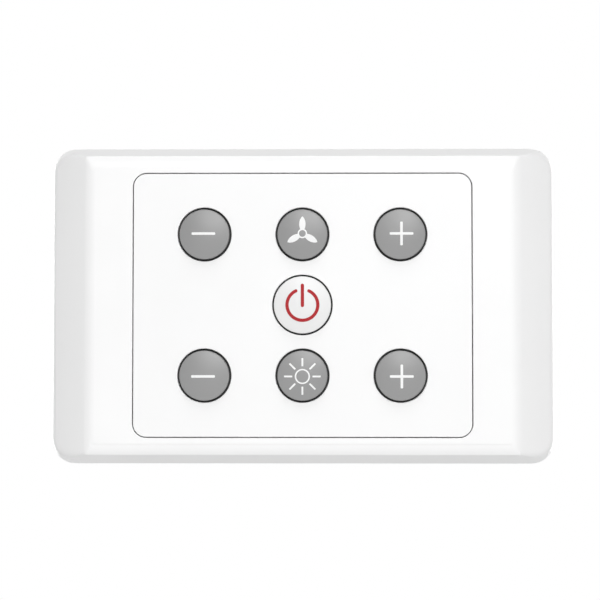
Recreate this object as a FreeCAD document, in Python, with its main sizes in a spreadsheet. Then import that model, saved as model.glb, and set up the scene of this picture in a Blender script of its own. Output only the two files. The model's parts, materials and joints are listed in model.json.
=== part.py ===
import FreeCAD, Part
import math
import os
import Sketcher

# Wall control for a ceiling fan and its light: a clip-on surround, a flush front panel with seven
# press buttons, and the mounting plate, boards and rear housing that sit behind them.
# X runs to the right and Z up across the plate. The wall is the plane Y = 0, the face looks
# towards -Y, and the rear housing reaches into the wall towards +Y.

SIZES = {
    # surround
    "plateWidth": 117.0,
    "plateHeight": 73.6,
    "plateDepth": 10.0,
    "plateCorner": 4.6,
    "rimHeight": 2.5,
    "rimDraft": 0.2,
    "sideBevelRun": 9.5,
    "sideBevelBlend": 3.6,
    "rimBlend": 1.2,
    "edgeDraft": 2.4,
    "edgeSlopeRun": 2.7,
    "edgeSlopeDrop": 1.0,
    "edgeSlopeBlend": 0.9,
    "edgeWallBlend": 0.4,
    "coverWall": 2.0,
    "edgeWall": 1.7,
    "lipWall": 1.2,
    "lipDepth": 5.0,
    "clipWidth": 8.0,
    "clipSpacing": 52.0,
    "clipBarb": 0.8,
    "clipBarbHeight": 0.8,
    "clipLift": 0.2,
    "clipGap": 0.25,
    "ribThickness": 1.2,
    "ribSpacing": 24.0,
    # front panel
    "panelWidth": 77.7,
    "panelHeight": 60.4,
    "panelCorner": 3.0,
    "panelThickness": 1.8,
    "panelEdge": 0.2,
    "panelGroove": 0.25,
    "skirtInset": 1.0,
    "skirtWall": 1.5,
    "postWidth": 2.4,
    "postSpacing": 22.5,
    # buttons
    "buttonPitchAcross": 22.5,
    "buttonPitchUp": 16.2,
    "holeDiameter": 12.4,
    "powerHoleDiameter": 13.9,
    "capGap": 0.48,
    "capProud": 0.7,
    "capDome": 0.5,
    "flangeLap": 0.75,
    "flangeThickness": 1.0,
    "flangeGap": 0.08,
    "flangeTrim": 2.0,
    "guideThickness": 0.8,
    "guideLength": 5.0,
    "guideGap": 0.2,
    # legends moulded through the caps
    "legendDepth": 0.35,
    "barLength": 5.6,
    "barWidth": 0.72,
    "bladeTip": 3.86,
    "bladeRoot": 0.34,
    "bladeWidth": 1.54,
    "hubRadius": 1.1,
    "hubHoleRadius": 0.72,
    "sunOuterRadius": 1.78,
    "sunInnerRadius": 1.33,
    "rayInner": 2.25,
    "rayOuter": 4.2,
    "rayWidth": 0.48,
    "powerArcRadius": 3.53,
    "powerStroke": 0.72,
    "powerGapAngle": 25.0,
    "powerBarTop": 4.85,
    "powerBarBottom": 0.5,
    # key switches and their board
    "boardGap": 0.6,
    "boardThickness": 1.6,
    "boardHeight": 52.0,
    "padLift": 0.4,
    "switchWidth": 6.0,
    "switchHeight": 2.5,
    "switchChamfer": 0.5,
    "plungerWidth": 2.6,
    "plungerDepth": 0.9,
    "plungerGap": 0.15,
    "plungerFloor": 0.7,
    "leadWidth": 0.7,
    "leadReach": 1.1,
    "leadThickness": 0.25,
    "leadSpacing": 4.5,
    "chipWidth": 10.3,
    "chipHeight": 7.5,
    "chipThickness": 2.0,
    # mounting plate
    "baseThickness": 2.0,
    "baseGap": 2.0,
    "baseEdgeGap": 1.6,
    "baseCorner": 3.5,
    "windowWidth": 54.0,
    "windowHeight": 38.0,
    "padWidth": 1.5,
    "fixingSpacing": 84.0,
    "fixingSlotLength": 7.0,
    "fixingSlotWidth": 4.2,
    # screws that draw the housing and the panel together
    "bossSpacingAcross": 66.0,
    "bossSpacingUp": 50.0,
    "bossDiameter": 5.8,
    "screwDiameter": 2.6,
    "screwPilotGap": 0.06,
    "screwHoleGap": 0.3,
    "screwHeadDiameter": 5.2,
    "screwHeadHeight": 1.8,
    "screwTipGap": 0.5,
    "screwLength": 9.0,
    # rear housing
    "flangeWidth": 72.0,
    "flangeHeight": 56.0,
    "flangeCorner": 3.0,
    "housingFlange": 2.0,
    "housingWidth": 58.0,
    "housingHeight": 42.0,
    "housingDepth": 24.0,
    "housingWall": 2.0,
    "housingCorner": 3.0,
    # supply board and what it carries
    "supplyBoardGap": 0.4,
    "supplyBoardDepth": 12.0,
    "supplyPostWidth": 4.0,
    "supplyMargin": 2.5,
    "transformerWidth": 17.0,
    "transformerHeight": 14.0,
    "transformerDepth": 10.5,
    "windingWidth": 9.4,
    "windingDepth": 8.4,
    "windingSink": 1.0,
    "windingOverhang": 1.4,
    "relayWidth": 15.5,
    "relayHeight": 10.5,
    "relayDepth": 10.0,
    "relayCorner": 0.4,
    "filmCapacitorWidth": 13.0,
    "filmCapacitorHeight": 6.0,
    "filmCapacitorDepth": 9.5,
    "filmCapacitorCorner": 0.8,
    "smoothingDiameter": 8.0,
    "smoothingDepth": 11.0,
    "headerWidth": 20.3,
    "headerHeight": 2.5,
    # supply terminals
    "terminalCount": 4.0,
    "terminalPitch": 5.08,
    "terminalDepth": 10.0,
    "terminalProud": 1.0,
    "terminalGap": 0.3,
    "chamberWidth": 3.9,
    "chamberGap": 0.12,
    "terminalFloor": 1.2,
    "entryBack": 3.4,
    "clampWall": 0.6,
    "clampBack": 2.6,
    "terminalScrewDiameter": 2.5,
    "terminalScrewGap": 0.05,
    "terminalScrewSink": 0.6,
    "terminalScrewLength": 4.2,
    "terminalSlotWidth": 0.7,
    "terminalSlotDepth": 0.8,
}

doc = FreeCAD.newDocument("FanSpeedControl")
sheet = doc.addObject("Spreadsheet::Sheet", "sizes")
for row, (alias, value) in enumerate(SIZES.items(), start=1):
    sheet.set("A%d" % row, alias)
    sheet.set("B%d" % row, str(value))
    sheet.setAlias("B%d" % row, alias)
doc.recompute()


def size(alias):
    return float(sheet.get(alias))


def bound(words):
    """An expression that reads the sheet: every size is written with a leading #."""
    return words.replace("#", "sizes.")


# sketches, pads and pockets

def startBody(name, across="0", up="0", forward="0"):
    """A body whose origin lies at (across, -forward, up)."""
    body = doc.addObject("PartDesign::Body", name)
    body.Label = name
    body.setExpression("Placement.Base.x", bound(across))
    body.setExpression("Placement.Base.y", bound("-(%s)" % forward))
    body.setExpression("Placement.Base.z", bound(up))
    return body


def newSketch(body, name, plane="XZ_Plane", level="0"):
    """On XZ_Plane a sketch looks along +Y, and level counts forward from the body's origin."""
    sketch = body.newObject("Sketcher::SketchObject", name)
    support = next(item for item in body.Origin.OriginFeatures if item.Role == plane)
    sketch.AttachmentSupport = [(support, "")]
    sketch.MapMode = "FlatFace"
    sketch.setExpression("AttachmentOffset.Base.z", bound(level))
    return sketch


def pin(sketch, geometry, point, across, up, near):
    """Ties one point of a sketch to expressions for its two coordinates."""
    for kind, words, value in (("DistanceX", across, near.x), ("DistanceY", up, near.y)):
        index = sketch.addConstraint(Sketcher.Constraint(kind, -1, 1, geometry, point, value))
        sketch.setExpression("Constraints[%d]" % index, bound(words))


def polygon(sketch, corners):
    """A closed polygon through corners given as pairs of expressions."""
    first = sketch.GeometryCount
    count = len(corners)
    turn = 2 * math.pi / count
    near = [FreeCAD.Vector(5 + math.cos(turn * k), 5 + math.sin(turn * k), 0) for k in range(count)]
    for k in range(count):
        sketch.addGeometry(Part.LineSegment(near[k], near[(k + 1) % count]), False)
    for k in range(count):
        nextLine = first + (k + 1) % count
        sketch.addConstraint(Sketcher.Constraint("Coincident", first + k, 2, nextLine, 1))
    for k, (across, up) in enumerate(corners):
        pin(sketch, first + k, 1, across, up, near[k])


def rectangle(sketch, width, height, across="0", up="0"):
    left = "(%s) - (%s) / 2" % (across, width)
    right = "(%s) + (%s) / 2" % (across, width)
    low = "(%s) - (%s) / 2" % (up, height)
    high = "(%s) + (%s) / 2" % (up, height)
    polygon(sketch, [(left, low), (right, low), (right, high), (left, high)])


def trimmedSquare(sketch, half, trim):
    """A square of this half width, whose sides run only as far as trim from their middles."""
    corners = []
    quarter = [(half, "-(%s)" % trim), (half, trim)]
    for k in range(4):
        corners += quarter
        quarter = [("-(%s)" % y, x) for x, y in quarter]
    polygon(sketch, corners)


def circle(sketch, diameter, across="0", up="0"):
    index = sketch.addGeometry(Part.Circle(FreeCAD.Vector(1, 1, 0), FreeCAD.Vector(0, 0, 1), 1), False)
    pin(sketch, index, 3, across, up, FreeCAD.Vector(1, 1, 0))
    diameterIndex = sketch.addConstraint(Sketcher.Constraint("Diameter", index, 2.0))
    sketch.setExpression("Constraints[%d]" % diameterIndex, bound(diameter))


def slot(sketch, length, width, across="0", up="0"):
    """A round-ended slot along the sketch's first axis."""
    halfWidth = FreeCAD.Vector(0, 1, 0)
    left = FreeCAD.Vector(-2, 0, 0)
    right = FreeCAD.Vector(2, 0, 0)
    axis = FreeCAD.Vector(0, 0, 1)
    first = sketch.addGeometry([
        Part.LineSegment(left + halfWidth, right + halfWidth),
        Part.ArcOfCircle(Part.Circle(right, axis, 1), -math.pi / 2, math.pi / 2),
        Part.LineSegment(right - halfWidth, left - halfWidth),
        Part.ArcOfCircle(Part.Circle(left, axis, 1), math.pi / 2, 3 * math.pi / 2),
    ], False)[0]
    reach = "((%s) - (%s)) / 2" % (length, width)
    rise = "(%s) / 2" % width
    pin(sketch, first, 1, "(%s) - %s" % (across, reach), "(%s) + %s" % (up, rise), left + halfWidth)
    pin(sketch, first, 2, "(%s) + %s" % (across, reach), "(%s) + %s" % (up, rise), right + halfWidth)
    pin(sketch, first + 2, 1, "(%s) + %s" % (across, reach), "(%s) - %s" % (up, rise), right - halfWidth)
    pin(sketch, first + 2, 2, "(%s) - %s" % (across, reach), "(%s) - %s" % (up, rise), left - halfWidth)
    for line, lineEnd, arc, arcEnd in ((0, 2, 1, 2), (2, 1, 1, 1), (2, 2, 3, 2), (0, 1, 3, 1)):
        joined = Sketcher.Constraint("Coincident", first + line, lineEnd, first + arc, arcEnd)
        sketch.addConstraint(joined)
    for arc, across_ in ((1, "(%s) + %s" % (across, reach)), (3, "(%s) - %s" % (across, reach))):
        index = sketch.addConstraint(Sketcher.Constraint("DistanceX", -1, 1, first + arc, 3, 2.0))
        sketch.setExpression("Constraints[%d]" % index, bound(across_))


def pad(body, sketch, length, name, backward=False, midplane=False):
    """Raises a sketch forward, or backward into the wall."""
    feature = body.newObject("PartDesign::Pad", name)
    feature.Profile = sketch
    feature.setExpression("Length", bound(length))
    feature.Reversed = backward
    feature.Midplane = midplane
    return feature


def pocket(body, sketch, length, name, forward=False, midplane=False):
    """Cuts a sketch backward from its level, or forward."""
    feature = body.newObject("PartDesign::Pocket", name)
    feature.Profile = sketch
    feature.setExpression("Length", bound(length))
    feature.Reversed = forward
    feature.Midplane = midplane
    return feature


def edgesWhere(shape, test):
    return ["Edge%d" % k for k, edge in enumerate(shape.Edges, start=1) if test(edge)]


def isAlong(edge, axis):
    if edge.Degenerated or edge.Curve.TypeId != "Part::GeomLine":
        return False
    return abs(abs(edge.tangentAt(edge.FirstParameter).dot(axis)) - 1) < 1e-6


ACROSS = FreeCAD.Vector(1, 0, 0)
DEEP = FreeCAD.Vector(0, 1, 0)
UP = FreeCAD.Vector(0, 0, 1)


def fillet(body, base, edges, radius, name):
    feature = body.newObject("PartDesign::Fillet", name)
    feature.Base = (base, edges)
    feature.setExpression("Radius", bound(radius))
    return feature


def roundCorners(body, base, radius, name):
    """Rounds the four outer edges that run from front to back."""
    doc.recompute()
    box = base.Shape.BoundBox

    def isCorner(edge):
        middle = edge.CenterOfMass
        return (isAlong(edge, DEEP)
                and min(abs(middle.x - box.XMin), abs(middle.x - box.XMax)) < 1e-4
                and min(abs(middle.z - box.ZMin), abs(middle.z - box.ZMax)) < 1e-4)

    return fillet(body, base, edgesWhere(base.Shape, isCorner), radius, name)


def block(name, width, height, depth, across="0", up="0", forward="0", corner=None):
    """A box whose front face lies at forward, centred on (across, up)."""
    body = startBody(name, across, up, forward)
    sketch = newSketch(body, name + "_outline")
    rectangle(sketch, width, height)
    raised = pad(body, sketch, depth, name + "_block", backward=True)
    if corner:
        roundCorners(body, raised, corner, name + "_corners")
    return body


def cutFrom(label, base, tool):
    cut = doc.addObject("Part::Cut", label)
    cut.Label = label
    cut.Base = base
    cut.Tool = tool
    return cut


def shared(label, shapes):
    common = doc.addObject("Part::MultiCommon", label)
    common.Label = label
    common.Shapes = shapes
    return common


def fused(label, shapes):
    union = doc.addObject("Part::MultiFuse", label)
    union.Label = label
    union.Shapes = shapes
    return union


def nudge(shape, across=None, forward=None, up=None):
    if across:
        shape.setExpression("Placement.Base.x", bound(across))
    if forward:
        shape.setExpression("Placement.Base.y", bound("-(%s)" % forward))
    if up:
        shape.setExpression("Placement.Base.z", bound(up))
    return shape


# surround: wide bevels at the ends and a two-stage top and bottom edge that meet in mitres

BEVEL = "atan((#plateDepth - #rimHeight) / #sideBevelRun)"
OPENING_WIDTH = "#panelWidth + 2 * #panelGroove"
OPENING_HEIGHT = "#panelHeight + 2 * #panelGroove"
LIP_WIDTH = "#panelWidth + 2 * #panelGroove + 2 * #lipWall"
LIP_HEIGHT = "#panelHeight + 2 * #panelGroove + 2 * #lipWall"


def endProfileForm(name, corners, blends):
    """A prism along Z from the right half of its profile, given from the wall to the front."""
    body = startBody(name)
    sketch = newSketch(body, name + "_profile", "XY_Plane")
    right = [(x, "-(%s)" % forward) for x, forward in corners]
    left = [("-(%s)" % x, y) for x, y in reversed(right)]
    polygon(sketch, right + left)
    prism = pad(body, sketch, "2 * #plateHeight", name + "_prism", midplane=True)
    doc.recompute()
    points = [sketch.getPoint(k, 1) for k in range(len(corners))]
    for index, radius in blends:
        corner = (points[index].x, points[index].y)
        prism = blendEdges(body, prism, UP, corner, radius, "%s_blend%d" % (name, index))
        doc.recompute()
    return body


def edgeProfileForm(name, corners, blends):
    """A prism along X from the upper half of its profile, given from the wall to the front."""
    body = startBody(name)
    sketch = newSketch(body, name + "_profile", "YZ_Plane")
    top = [("-(%s)" % forward, z) for z, forward in corners]
    bottom = [(y, "-(%s)" % z) for y, z in reversed(top)]
    polygon(sketch, top + bottom)
    prism = pad(body, sketch, "2 * #plateWidth", name + "_prism", midplane=True)
    doc.recompute()
    points = [sketch.getPoint(k, 1) for k in range(len(corners))]
    for index, radius in blends:
        corner = (points[index].y, points[index].x)
        prism = blendEdges(body, prism, ACROSS, corner, radius, "%s_blend%d" % (name, index))
        doc.recompute()
    return body


def blendEdges(body, base, axis, corner, radius, name):
    """Rounds the pair of mirrored edges that start at one corner of the profile."""

    def isHere(edge):
        middle = edge.CenterOfMass
        sideways = middle.x if axis == UP else middle.z
        return (isAlong(edge, axis) and abs(abs(sideways) - corner[0]) < 1e-4
                and abs(middle.y - corner[1]) < 1e-4)

    return fillet(body, base, edgesWhere(base.Shape, isHere), radius, name)


def makeSurround():
    # outer faces
    ends = endProfileForm("surround_ends", [
        ("#plateWidth / 2", "0"),
        ("#plateWidth / 2 - #rimDraft", "#rimHeight"),
        ("#plateWidth / 2 - #rimDraft - #sideBevelRun", "#plateDepth"),
    ], [(1, "#rimBlend"), (2, "#sideBevelBlend")])
    edges = edgeProfileForm("surround_edges", [
        ("#plateHeight / 2", "0"),
        ("#plateHeight / 2 - #edgeDraft", "#plateDepth - #edgeSlopeDrop"),
        ("#plateHeight / 2 - #edgeDraft - #edgeSlopeRun", "#plateDepth"),
    ], [(1, "#edgeWallBlend"), (2, "#edgeSlopeBlend")])
    plan = block("surround_plan", "#plateWidth", "#plateHeight", "#plateDepth",
                 forward="#plateDepth", corner="#plateCorner")
    outside = shared("surround_outside", [ends, edges, plan])

    # inner faces, one wall further in
    bevelShift = "#coverWall * tan(%s / 2)" % BEVEL
    rimShift = "#coverWall * tan(45 deg - %s / 2)" % BEVEL
    innerEnds = endProfileForm("surround_inner_ends", [
        ("#plateWidth / 2 - #coverWall", "-1"),
        ("#plateWidth / 2 - #coverWall", "#rimHeight - %s" % rimShift),
        ("#plateWidth / 2 - #rimDraft - #sideBevelRun - %s" % bevelShift, "#plateDepth - #coverWall"),
    ], [])
    innerEdges = edgeProfileForm("surround_inner_edges", [
        ("#plateHeight / 2 - #edgeWall", "-1"),
        ("#plateHeight / 2 - #edgeWall", "0"),
        ("#plateHeight / 2 - #edgeWall - #edgeDraft", "#plateDepth - #edgeSlopeDrop - #edgeWall / 2"),
        ("#plateHeight / 2 - #edgeDraft - #edgeSlopeRun", "#plateDepth - #coverWall"),
    ], [])
    inside = shared("surround_inside", [innerEnds, innerEdges])
    shell = cutFrom("surround_shell", outside, inside)

    # lip round the opening, and the ribs that stand on the mounting plate
    lip = block("surround_lip", LIP_WIDTH, LIP_HEIGHT, "#lipDepth", forward="#plateDepth - #coverWall / 2",
                corner="#panelCorner + #lipWall")
    ribs = startBody("surround_ribs", forward="#baseThickness")
    ribSketch = newSketch(ribs, "surround_ribs_outline")
    ribInner = "(%s) / 2 - #lipWall / 2" % LIP_WIDTH
    ribOuter = "#plateWidth / 2 - #coverWall / 2"
    for side in ("", "-"):
        for row in ("", "-"):
            middle = "%s(#ribSpacing / 2)" % row
            rectangle(ribSketch, "%s - (%s)" % (ribOuter, ribInner), "#ribThickness",
                      "%s((%s + %s) / 2)" % (side, ribOuter, ribInner), middle)
    pad(ribs, ribSketch, "#plateDepth - #baseThickness", "surround_ribs_block")
    trimmedRibs = shared("surround_trimmed_ribs", [ribs, outside])

    # clips that reach down beside the mounting plate and hook behind its edge
    clips = []
    armTop = "(%s) / 2" % OPENING_HEIGHT
    for name, across in (("left", "-#clipSpacing / 2"), ("right", "#clipSpacing / 2")):
        for place, sign in (("top", ""), ("bottom", "-")):
            clip = startBody("surround_clip_%s_%s" % (place, name), across)
            sketch = newSketch(clip, clip.Name + "_profile", "YZ_Plane")
            polygon(sketch, [(y, "%s(%s)" % (sign, z)) for y, z in (
                ("-(#plateDepth - #coverWall / 2)", armTop),
                ("-(#clipLift + #clipBarbHeight)", armTop),
                ("-(#clipLift + #clipBarbHeight)", "%s - #clipBarb" % armTop),
                ("-(#clipLift + #clipBarbHeight / 2)", "%s - #clipBarb" % armTop),
                ("-#clipLift", armTop),
                ("-#clipLift", "%s + #lipWall" % armTop),
                ("-(#plateDepth - #coverWall / 2)", "%s + #lipWall" % armTop),
            )])
            pad(clip, sketch, "#clipWidth", clip.Name + "_arm", midplane=True)
            clips.append(clip)

    opening = block("surround_opening", OPENING_WIDTH, OPENING_HEIGHT, "#plateDepth",
                    forward="#plateDepth + 1", corner="#panelCorner + #panelGroove")
    solid = fused("surround_solid", [shell, lip, trimmedRibs])
    opened = cutFrom("surround_opened", solid, opening)
    return fused("surround_cover", [opened] + clips)


# front panel: a flush plate with seven holes, a skirt, and the bosses that take the screws

BUTTONS = [
    ("fan_down", "-#buttonPitchAcross", "#buttonPitchUp", "#holeDiameter", "minus"),
    ("fan", "0", "#buttonPitchUp", "#holeDiameter", "fan"),
    ("fan_up", "#buttonPitchAcross", "#buttonPitchUp", "#holeDiameter", "plus"),
    ("power", "0", "0", "#powerHoleDiameter", "power"),
    ("light_down", "-#buttonPitchAcross", "-#buttonPitchUp", "#holeDiameter", "minus"),
    ("light", "0", "-#buttonPitchUp", "#holeDiameter", "sun"),
    ("light_up", "#buttonPitchAcross", "-#buttonPitchUp", "#holeDiameter", "plus"),
]
PANEL_BACK = "#plateDepth - #panelThickness"
BOARD_FRONT = "#baseThickness + #padLift + #boardThickness"
SKIRT_WIDTH = "#panelWidth - 2 * #skirtInset"
SKIRT_HEIGHT = "#panelHeight - 2 * #skirtInset"
FLANGE_BACK = "#panelThickness + #flangeGap + #flangeThickness"
CORNERS = [(side + "#bossSpacingAcross / 2", row + "#bossSpacingUp / 2")
           for side in ("", "-") for row in ("", "-")]


def makePanel():
    body = startBody("front_panel")
    face = newSketch(body, "panel_outline", level="#plateDepth")
    rectangle(face, "#panelWidth", "#panelHeight")
    plate = pad(body, face, "#panelThickness", "panel_plate", backward=True)
    rounded = roundCorners(body, plate, "#panelCorner", "panel_corners")
    doc.recompute()
    front = rounded.Shape.BoundBox.YMin
    frontEdges = edgesWhere(rounded.Shape, lambda edge: abs(edge.CenterOfMass.y - front) < 1e-4)
    bevel = body.newObject("PartDesign::Chamfer", "panel_front_edge")
    bevel.Base = (rounded, frontEdges)
    bevel.setExpression("Size", bound("#panelEdge"))

    skirt = newSketch(body, "skirt_outline", level=PANEL_BACK)
    rectangle(skirt, SKIRT_WIDTH, SKIRT_HEIGHT)
    rectangle(skirt, SKIRT_WIDTH + " - 2 * #skirtWall", SKIRT_HEIGHT + " - 2 * #skirtWall")
    pad(body, skirt, PANEL_BACK + " - #baseThickness", "panel_skirt", backward=True)

    bosses = newSketch(body, "boss_outlines", level=PANEL_BACK)
    for across, up in CORNERS:
        circle(bosses, "#bossDiameter", across, up)
    pad(body, bosses, PANEL_BACK + " - #baseThickness", "panel_bosses", backward=True)

    posts = newSketch(body, "post_outlines", level=PANEL_BACK)
    for side in ("-", ""):
        rectangle(posts, "#postWidth", "#postWidth", side + "#postSpacing / 2", "#buttonPitchUp / 2")
        rectangle(posts, "#postWidth", "#postWidth", side + "#postSpacing / 2", "-#buttonPitchUp / 2")
    pad(body, posts, PANEL_BACK + " - (%s)" % BOARD_FRONT, "panel_posts", backward=True)

    # pairs of ribs that keep the square flanges, and so the legends, upright
    guides = newSketch(body, "guide_ribs", level=PANEL_BACK)
    for name, across, up, diameter, legend in BUTTONS:
        for side in ("-", "+"):
            reach = "%s / 2 + #flangeLap + #guideGap + #guideThickness / 2" % diameter
            rectangle(guides, "#guideThickness", "#guideLength", "%s %s (%s)" % (across, side, reach), up)
    pad(body, guides, "#flangeGap + #flangeThickness", "panel_guide_ribs", backward=True)

    holes = newSketch(body, "button_holes", level="#plateDepth")
    for name, across, up, diameter, legend in BUTTONS:
        circle(holes, diameter, across, up)
    pocket(body, holes, "#panelThickness", "panel_button_holes")

    pilots = newSketch(body, "pilot_holes", level="#baseThickness")
    for across, up in CORNERS:
        circle(pilots, "#screwDiameter + 2 * #screwPilotGap", across, up)
    pocket(body, pilots, "#screwLength - #housingFlange - #baseThickness + #screwTipGap",
           "panel_pilot_holes", forward=True)
    return body


# buttons: domed caps with a flange behind the panel, each with its legend moulded through it

CROWN = "#capProud + #capDome"


def makeCapBlank(name, across, up, holeDiameter):
    """A round shank on a square flange, trimmed in front to a shallow dome."""
    body = startBody(name + "_shank", across, up, "#plateDepth")
    capRadius = "%s / 2 - #capGap" % holeDiameter
    shank = newSketch(body, name + "_shank_outline", level=CROWN)
    circle(shank, "2 * (%s)" % capRadius)
    pad(body, shank, "%s + #panelThickness + #flangeGap" % CROWN, name + "_shank_pad", backward=True)
    flange = newSketch(body, name + "_flange_outline", level="-(#panelThickness + #flangeGap)")
    half = "%s / 2 + #flangeLap" % holeDiameter
    trimmedSquare(flange, half, "%s - #flangeTrim" % half)
    pad(body, flange, "#flangeThickness", name + "_flange", backward=True)

    dome = doc.addObject("Part::Sphere", name + "_dome")
    domeRadius = "((%s) ^ 2 + #capDome ^ 2) / (2 * #capDome)" % capRadius
    dome.setExpression("Radius", bound(domeRadius))
    nudge(dome, across, "#plateDepth + %s - (%s)" % (CROWN, domeRadius), up)
    return shared(name + "_blank", [body, dome])


def legendBody(name, across, up):
    return startBody(name + "_legend", across, up, "#plateDepth")


LEGEND_LEVEL = "#capProud - #legendDepth"
LEGEND_RISE = "2 * (#legendDepth + #capDome)"


def makeMinus(name, across, up):
    body = legendBody(name, across, up)
    sketch = newSketch(body, name + "_bar", level=LEGEND_LEVEL)
    rectangle(sketch, "#barLength", "#barWidth")
    pad(body, sketch, LEGEND_RISE, name + "_legend_bar")
    return body


def makePlus(name, across, up):
    body = legendBody(name, across, up)
    sketch = newSketch(body, name + "_bars", level=LEGEND_LEVEL)
    reach = "#barLength / 2"
    half = "#barWidth / 2"
    quarter = [(reach, "-(%s)" % half), (reach, half), (half, half)]
    corners = []
    for k in range(4):
        corners += quarter
        quarter = [("-(%s)" % y, x) for x, y in quarter]
    polygon(sketch, corners)
    pad(body, sketch, LEGEND_RISE, name + "_legend_bars")
    return body


def patternRound(body, feature, count, name):
    doc.recompute()
    pattern = body.newObject("PartDesign::PolarPattern", name)
    pattern.Originals = [feature]
    axis = next(item for item in body.Origin.OriginFeatures if item.Role == "Y_Axis")
    pattern.Axis = (axis, [""])
    pattern.Angle = 360
    pattern.Occurrences = count
    body.Tip = pattern
    doc.recompute()
    return pattern


def makeFan(name, across, up):
    """Three leaf-shaped blades round a hub ring."""
    body = legendBody(name, across, up)
    hub = newSketch(body, name + "_hub", level=LEGEND_LEVEL)
    circle(hub, "2 * #hubRadius")
    pad(body, hub, LEGEND_RISE, name + "_legend_hub")
    blade = newSketch(body, name + "_blade", level=LEGEND_LEVEL)
    root = size("bladeRoot")
    tip = size("bladeTip")
    half = (tip - root) / 2
    swell = size("bladeWidth") / 2
    radius = (half ** 2 + swell ** 2) / (2 * swell)
    spread = math.asin(half / radius)
    middle = (tip + root) / 2
    right = Part.Circle(FreeCAD.Vector(swell - radius, middle, 0), UP, radius)
    left = Part.Circle(FreeCAD.Vector(radius - swell, middle, 0), UP, radius)
    blade.addGeometry([Part.ArcOfCircle(right, -spread, spread),
                       Part.ArcOfCircle(left, math.pi - spread, math.pi + spread)], False)
    blade.addConstraint(Sketcher.Constraint("Coincident", 0, 2, 1, 1))
    blade.addConstraint(Sketcher.Constraint("Coincident", 1, 2, 0, 1))
    pin(blade, 0, 1, "0", "#bladeRoot", FreeCAD.Vector(0, root, 0))
    pin(blade, 0, 2, "0", "#bladeTip", FreeCAD.Vector(0, tip, 0))
    curve = "(((#bladeTip - #bladeRoot) / 2) ^ 2 + (#bladeWidth / 2) ^ 2) / #bladeWidth"
    for arc in (0, 1):
        index = blade.addConstraint(Sketcher.Constraint("Radius", arc, radius))
        blade.setExpression("Constraints[%d]" % index, bound(curve))
    leaf = pad(body, blade, LEGEND_RISE, name + "_legend_blade")
    patternRound(body, leaf, 3, name + "_legend_blades")
    bore = newSketch(body, name + "_hub_hole", level=LEGEND_LEVEL)
    circle(bore, "2 * #hubHoleRadius")
    pocket(body, bore, LEGEND_RISE, name + "_legend_hub_hole", forward=True)
    return body


def makeSun(name, across, up):
    """A ring with eight rays."""
    body = legendBody(name, across, up)
    ring = newSketch(body, name + "_ring", level=LEGEND_LEVEL)
    circle(ring, "2 * #sunOuterRadius")
    circle(ring, "2 * #sunInnerRadius")
    pad(body, ring, LEGEND_RISE, name + "_legend_ring")
    ray = newSketch(body, name + "_ray", level=LEGEND_LEVEL)
    rectangle(ray, "#rayWidth", "#rayOuter - #rayInner", up="(#rayOuter + #rayInner) / 2")
    raised = pad(body, ray, LEGEND_RISE, name + "_legend_ray")
    patternRound(body, raised, 8, name + "_legend_rays")
    return body


def makePower(name, across, up):
    """An open ring with round ends and an upright bar in its gap."""
    body = legendBody(name, across, up)
    ring = newSketch(body, name + "_ring", level=LEGEND_LEVEL)
    circle(ring, "2 * #powerArcRadius + #powerStroke")
    circle(ring, "2 * #powerArcRadius - #powerStroke")
    pad(body, ring, LEGEND_RISE, name + "_legend_ring")
    wedge = newSketch(body, name + "_gap", level=LEGEND_LEVEL)
    rise = "2 * #powerArcRadius"
    reach = "2 * #powerArcRadius * tan(#powerGapAngle)"
    polygon(wedge, [("0", "0"), (reach, rise), ("-(%s)" % reach, rise)])
    pocket(body, wedge, LEGEND_RISE, name + "_legend_gap", forward=True)
    ends = newSketch(body, name + "_ends", level=LEGEND_LEVEL)
    endRise = "#powerArcRadius * cos(#powerGapAngle)"
    for side in ("", "-"):
        circle(ends, "#powerStroke", "%s#powerArcRadius * sin(#powerGapAngle)" % side, endRise)
    pad(body, ends, LEGEND_RISE, name + "_legend_ends")
    bar = newSketch(body, name + "_bar", level=LEGEND_LEVEL)
    rectangle(bar, "#powerStroke", "#powerBarTop + #powerBarBottom",
              up="(#powerBarTop - #powerBarBottom) / 2")
    pad(body, bar, LEGEND_RISE, name + "_legend_bar")
    return body


LEGENDS = {"minus": makeMinus, "plus": makePlus, "fan": makeFan, "sun": makeSun, "power": makePower}


def makeButton(name, across, up, diameter, legend):
    blank = makeCapBlank(name, across, up, diameter)
    tool = LEGENDS[legend](name, across, up)
    cap = cutFrom(name + "_button", blank, tool)
    inlay = shared(name + "_legend_inlay", [blank, tool])
    return [cap, inlay]


# key switches: square bodies on the board, with plungers that follow the caps

def makeSwitch(name, across, up):
    top = "(%s) + #switchHeight" % BOARD_FRONT
    body = startBody(name + "_switch", across, up, top)
    outline = newSketch(body, name + "_switch_outline")
    trimmedSquare(outline, "#switchWidth / 2", "#switchWidth / 2 - #switchChamfer")
    pad(body, outline, "#switchHeight", name + "_switch_body", backward=True)
    bore = newSketch(body, name + "_switch_bore")
    rectangle(bore, "#plungerWidth + 2 * #plungerGap", "#plungerWidth + 2 * #plungerGap")
    pocket(body, bore, "#switchHeight - #plungerFloor", name + "_switch_bore_cut")
    leads = newSketch(body, name + "_switch_leads", level="-#switchHeight")
    for side in ("", "-"):
        for row in ("", "-"):
            rectangle(leads, "#leadReach", "#leadWidth", "%s(#switchWidth / 2 + #leadReach / 2)" % side,
                      "%s(#leadSpacing / 2)" % row)
    pad(body, leads, "#leadThickness", name + "_switch_lead_feet")
    return body


def makePlunger(name, across, up):
    """It rests against the back of the cap and runs in the switch's bore."""
    stand = "#plateDepth - (%s) - (%s) - #switchHeight" % (FLANGE_BACK, BOARD_FRONT)
    return block(name + "_plunger", "#plungerWidth", "#plungerWidth", "%s + #plungerDepth" % stand,
                 across, up, "#plateDepth - (%s)" % FLANGE_BACK)


# circuit board behind the panel

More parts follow.
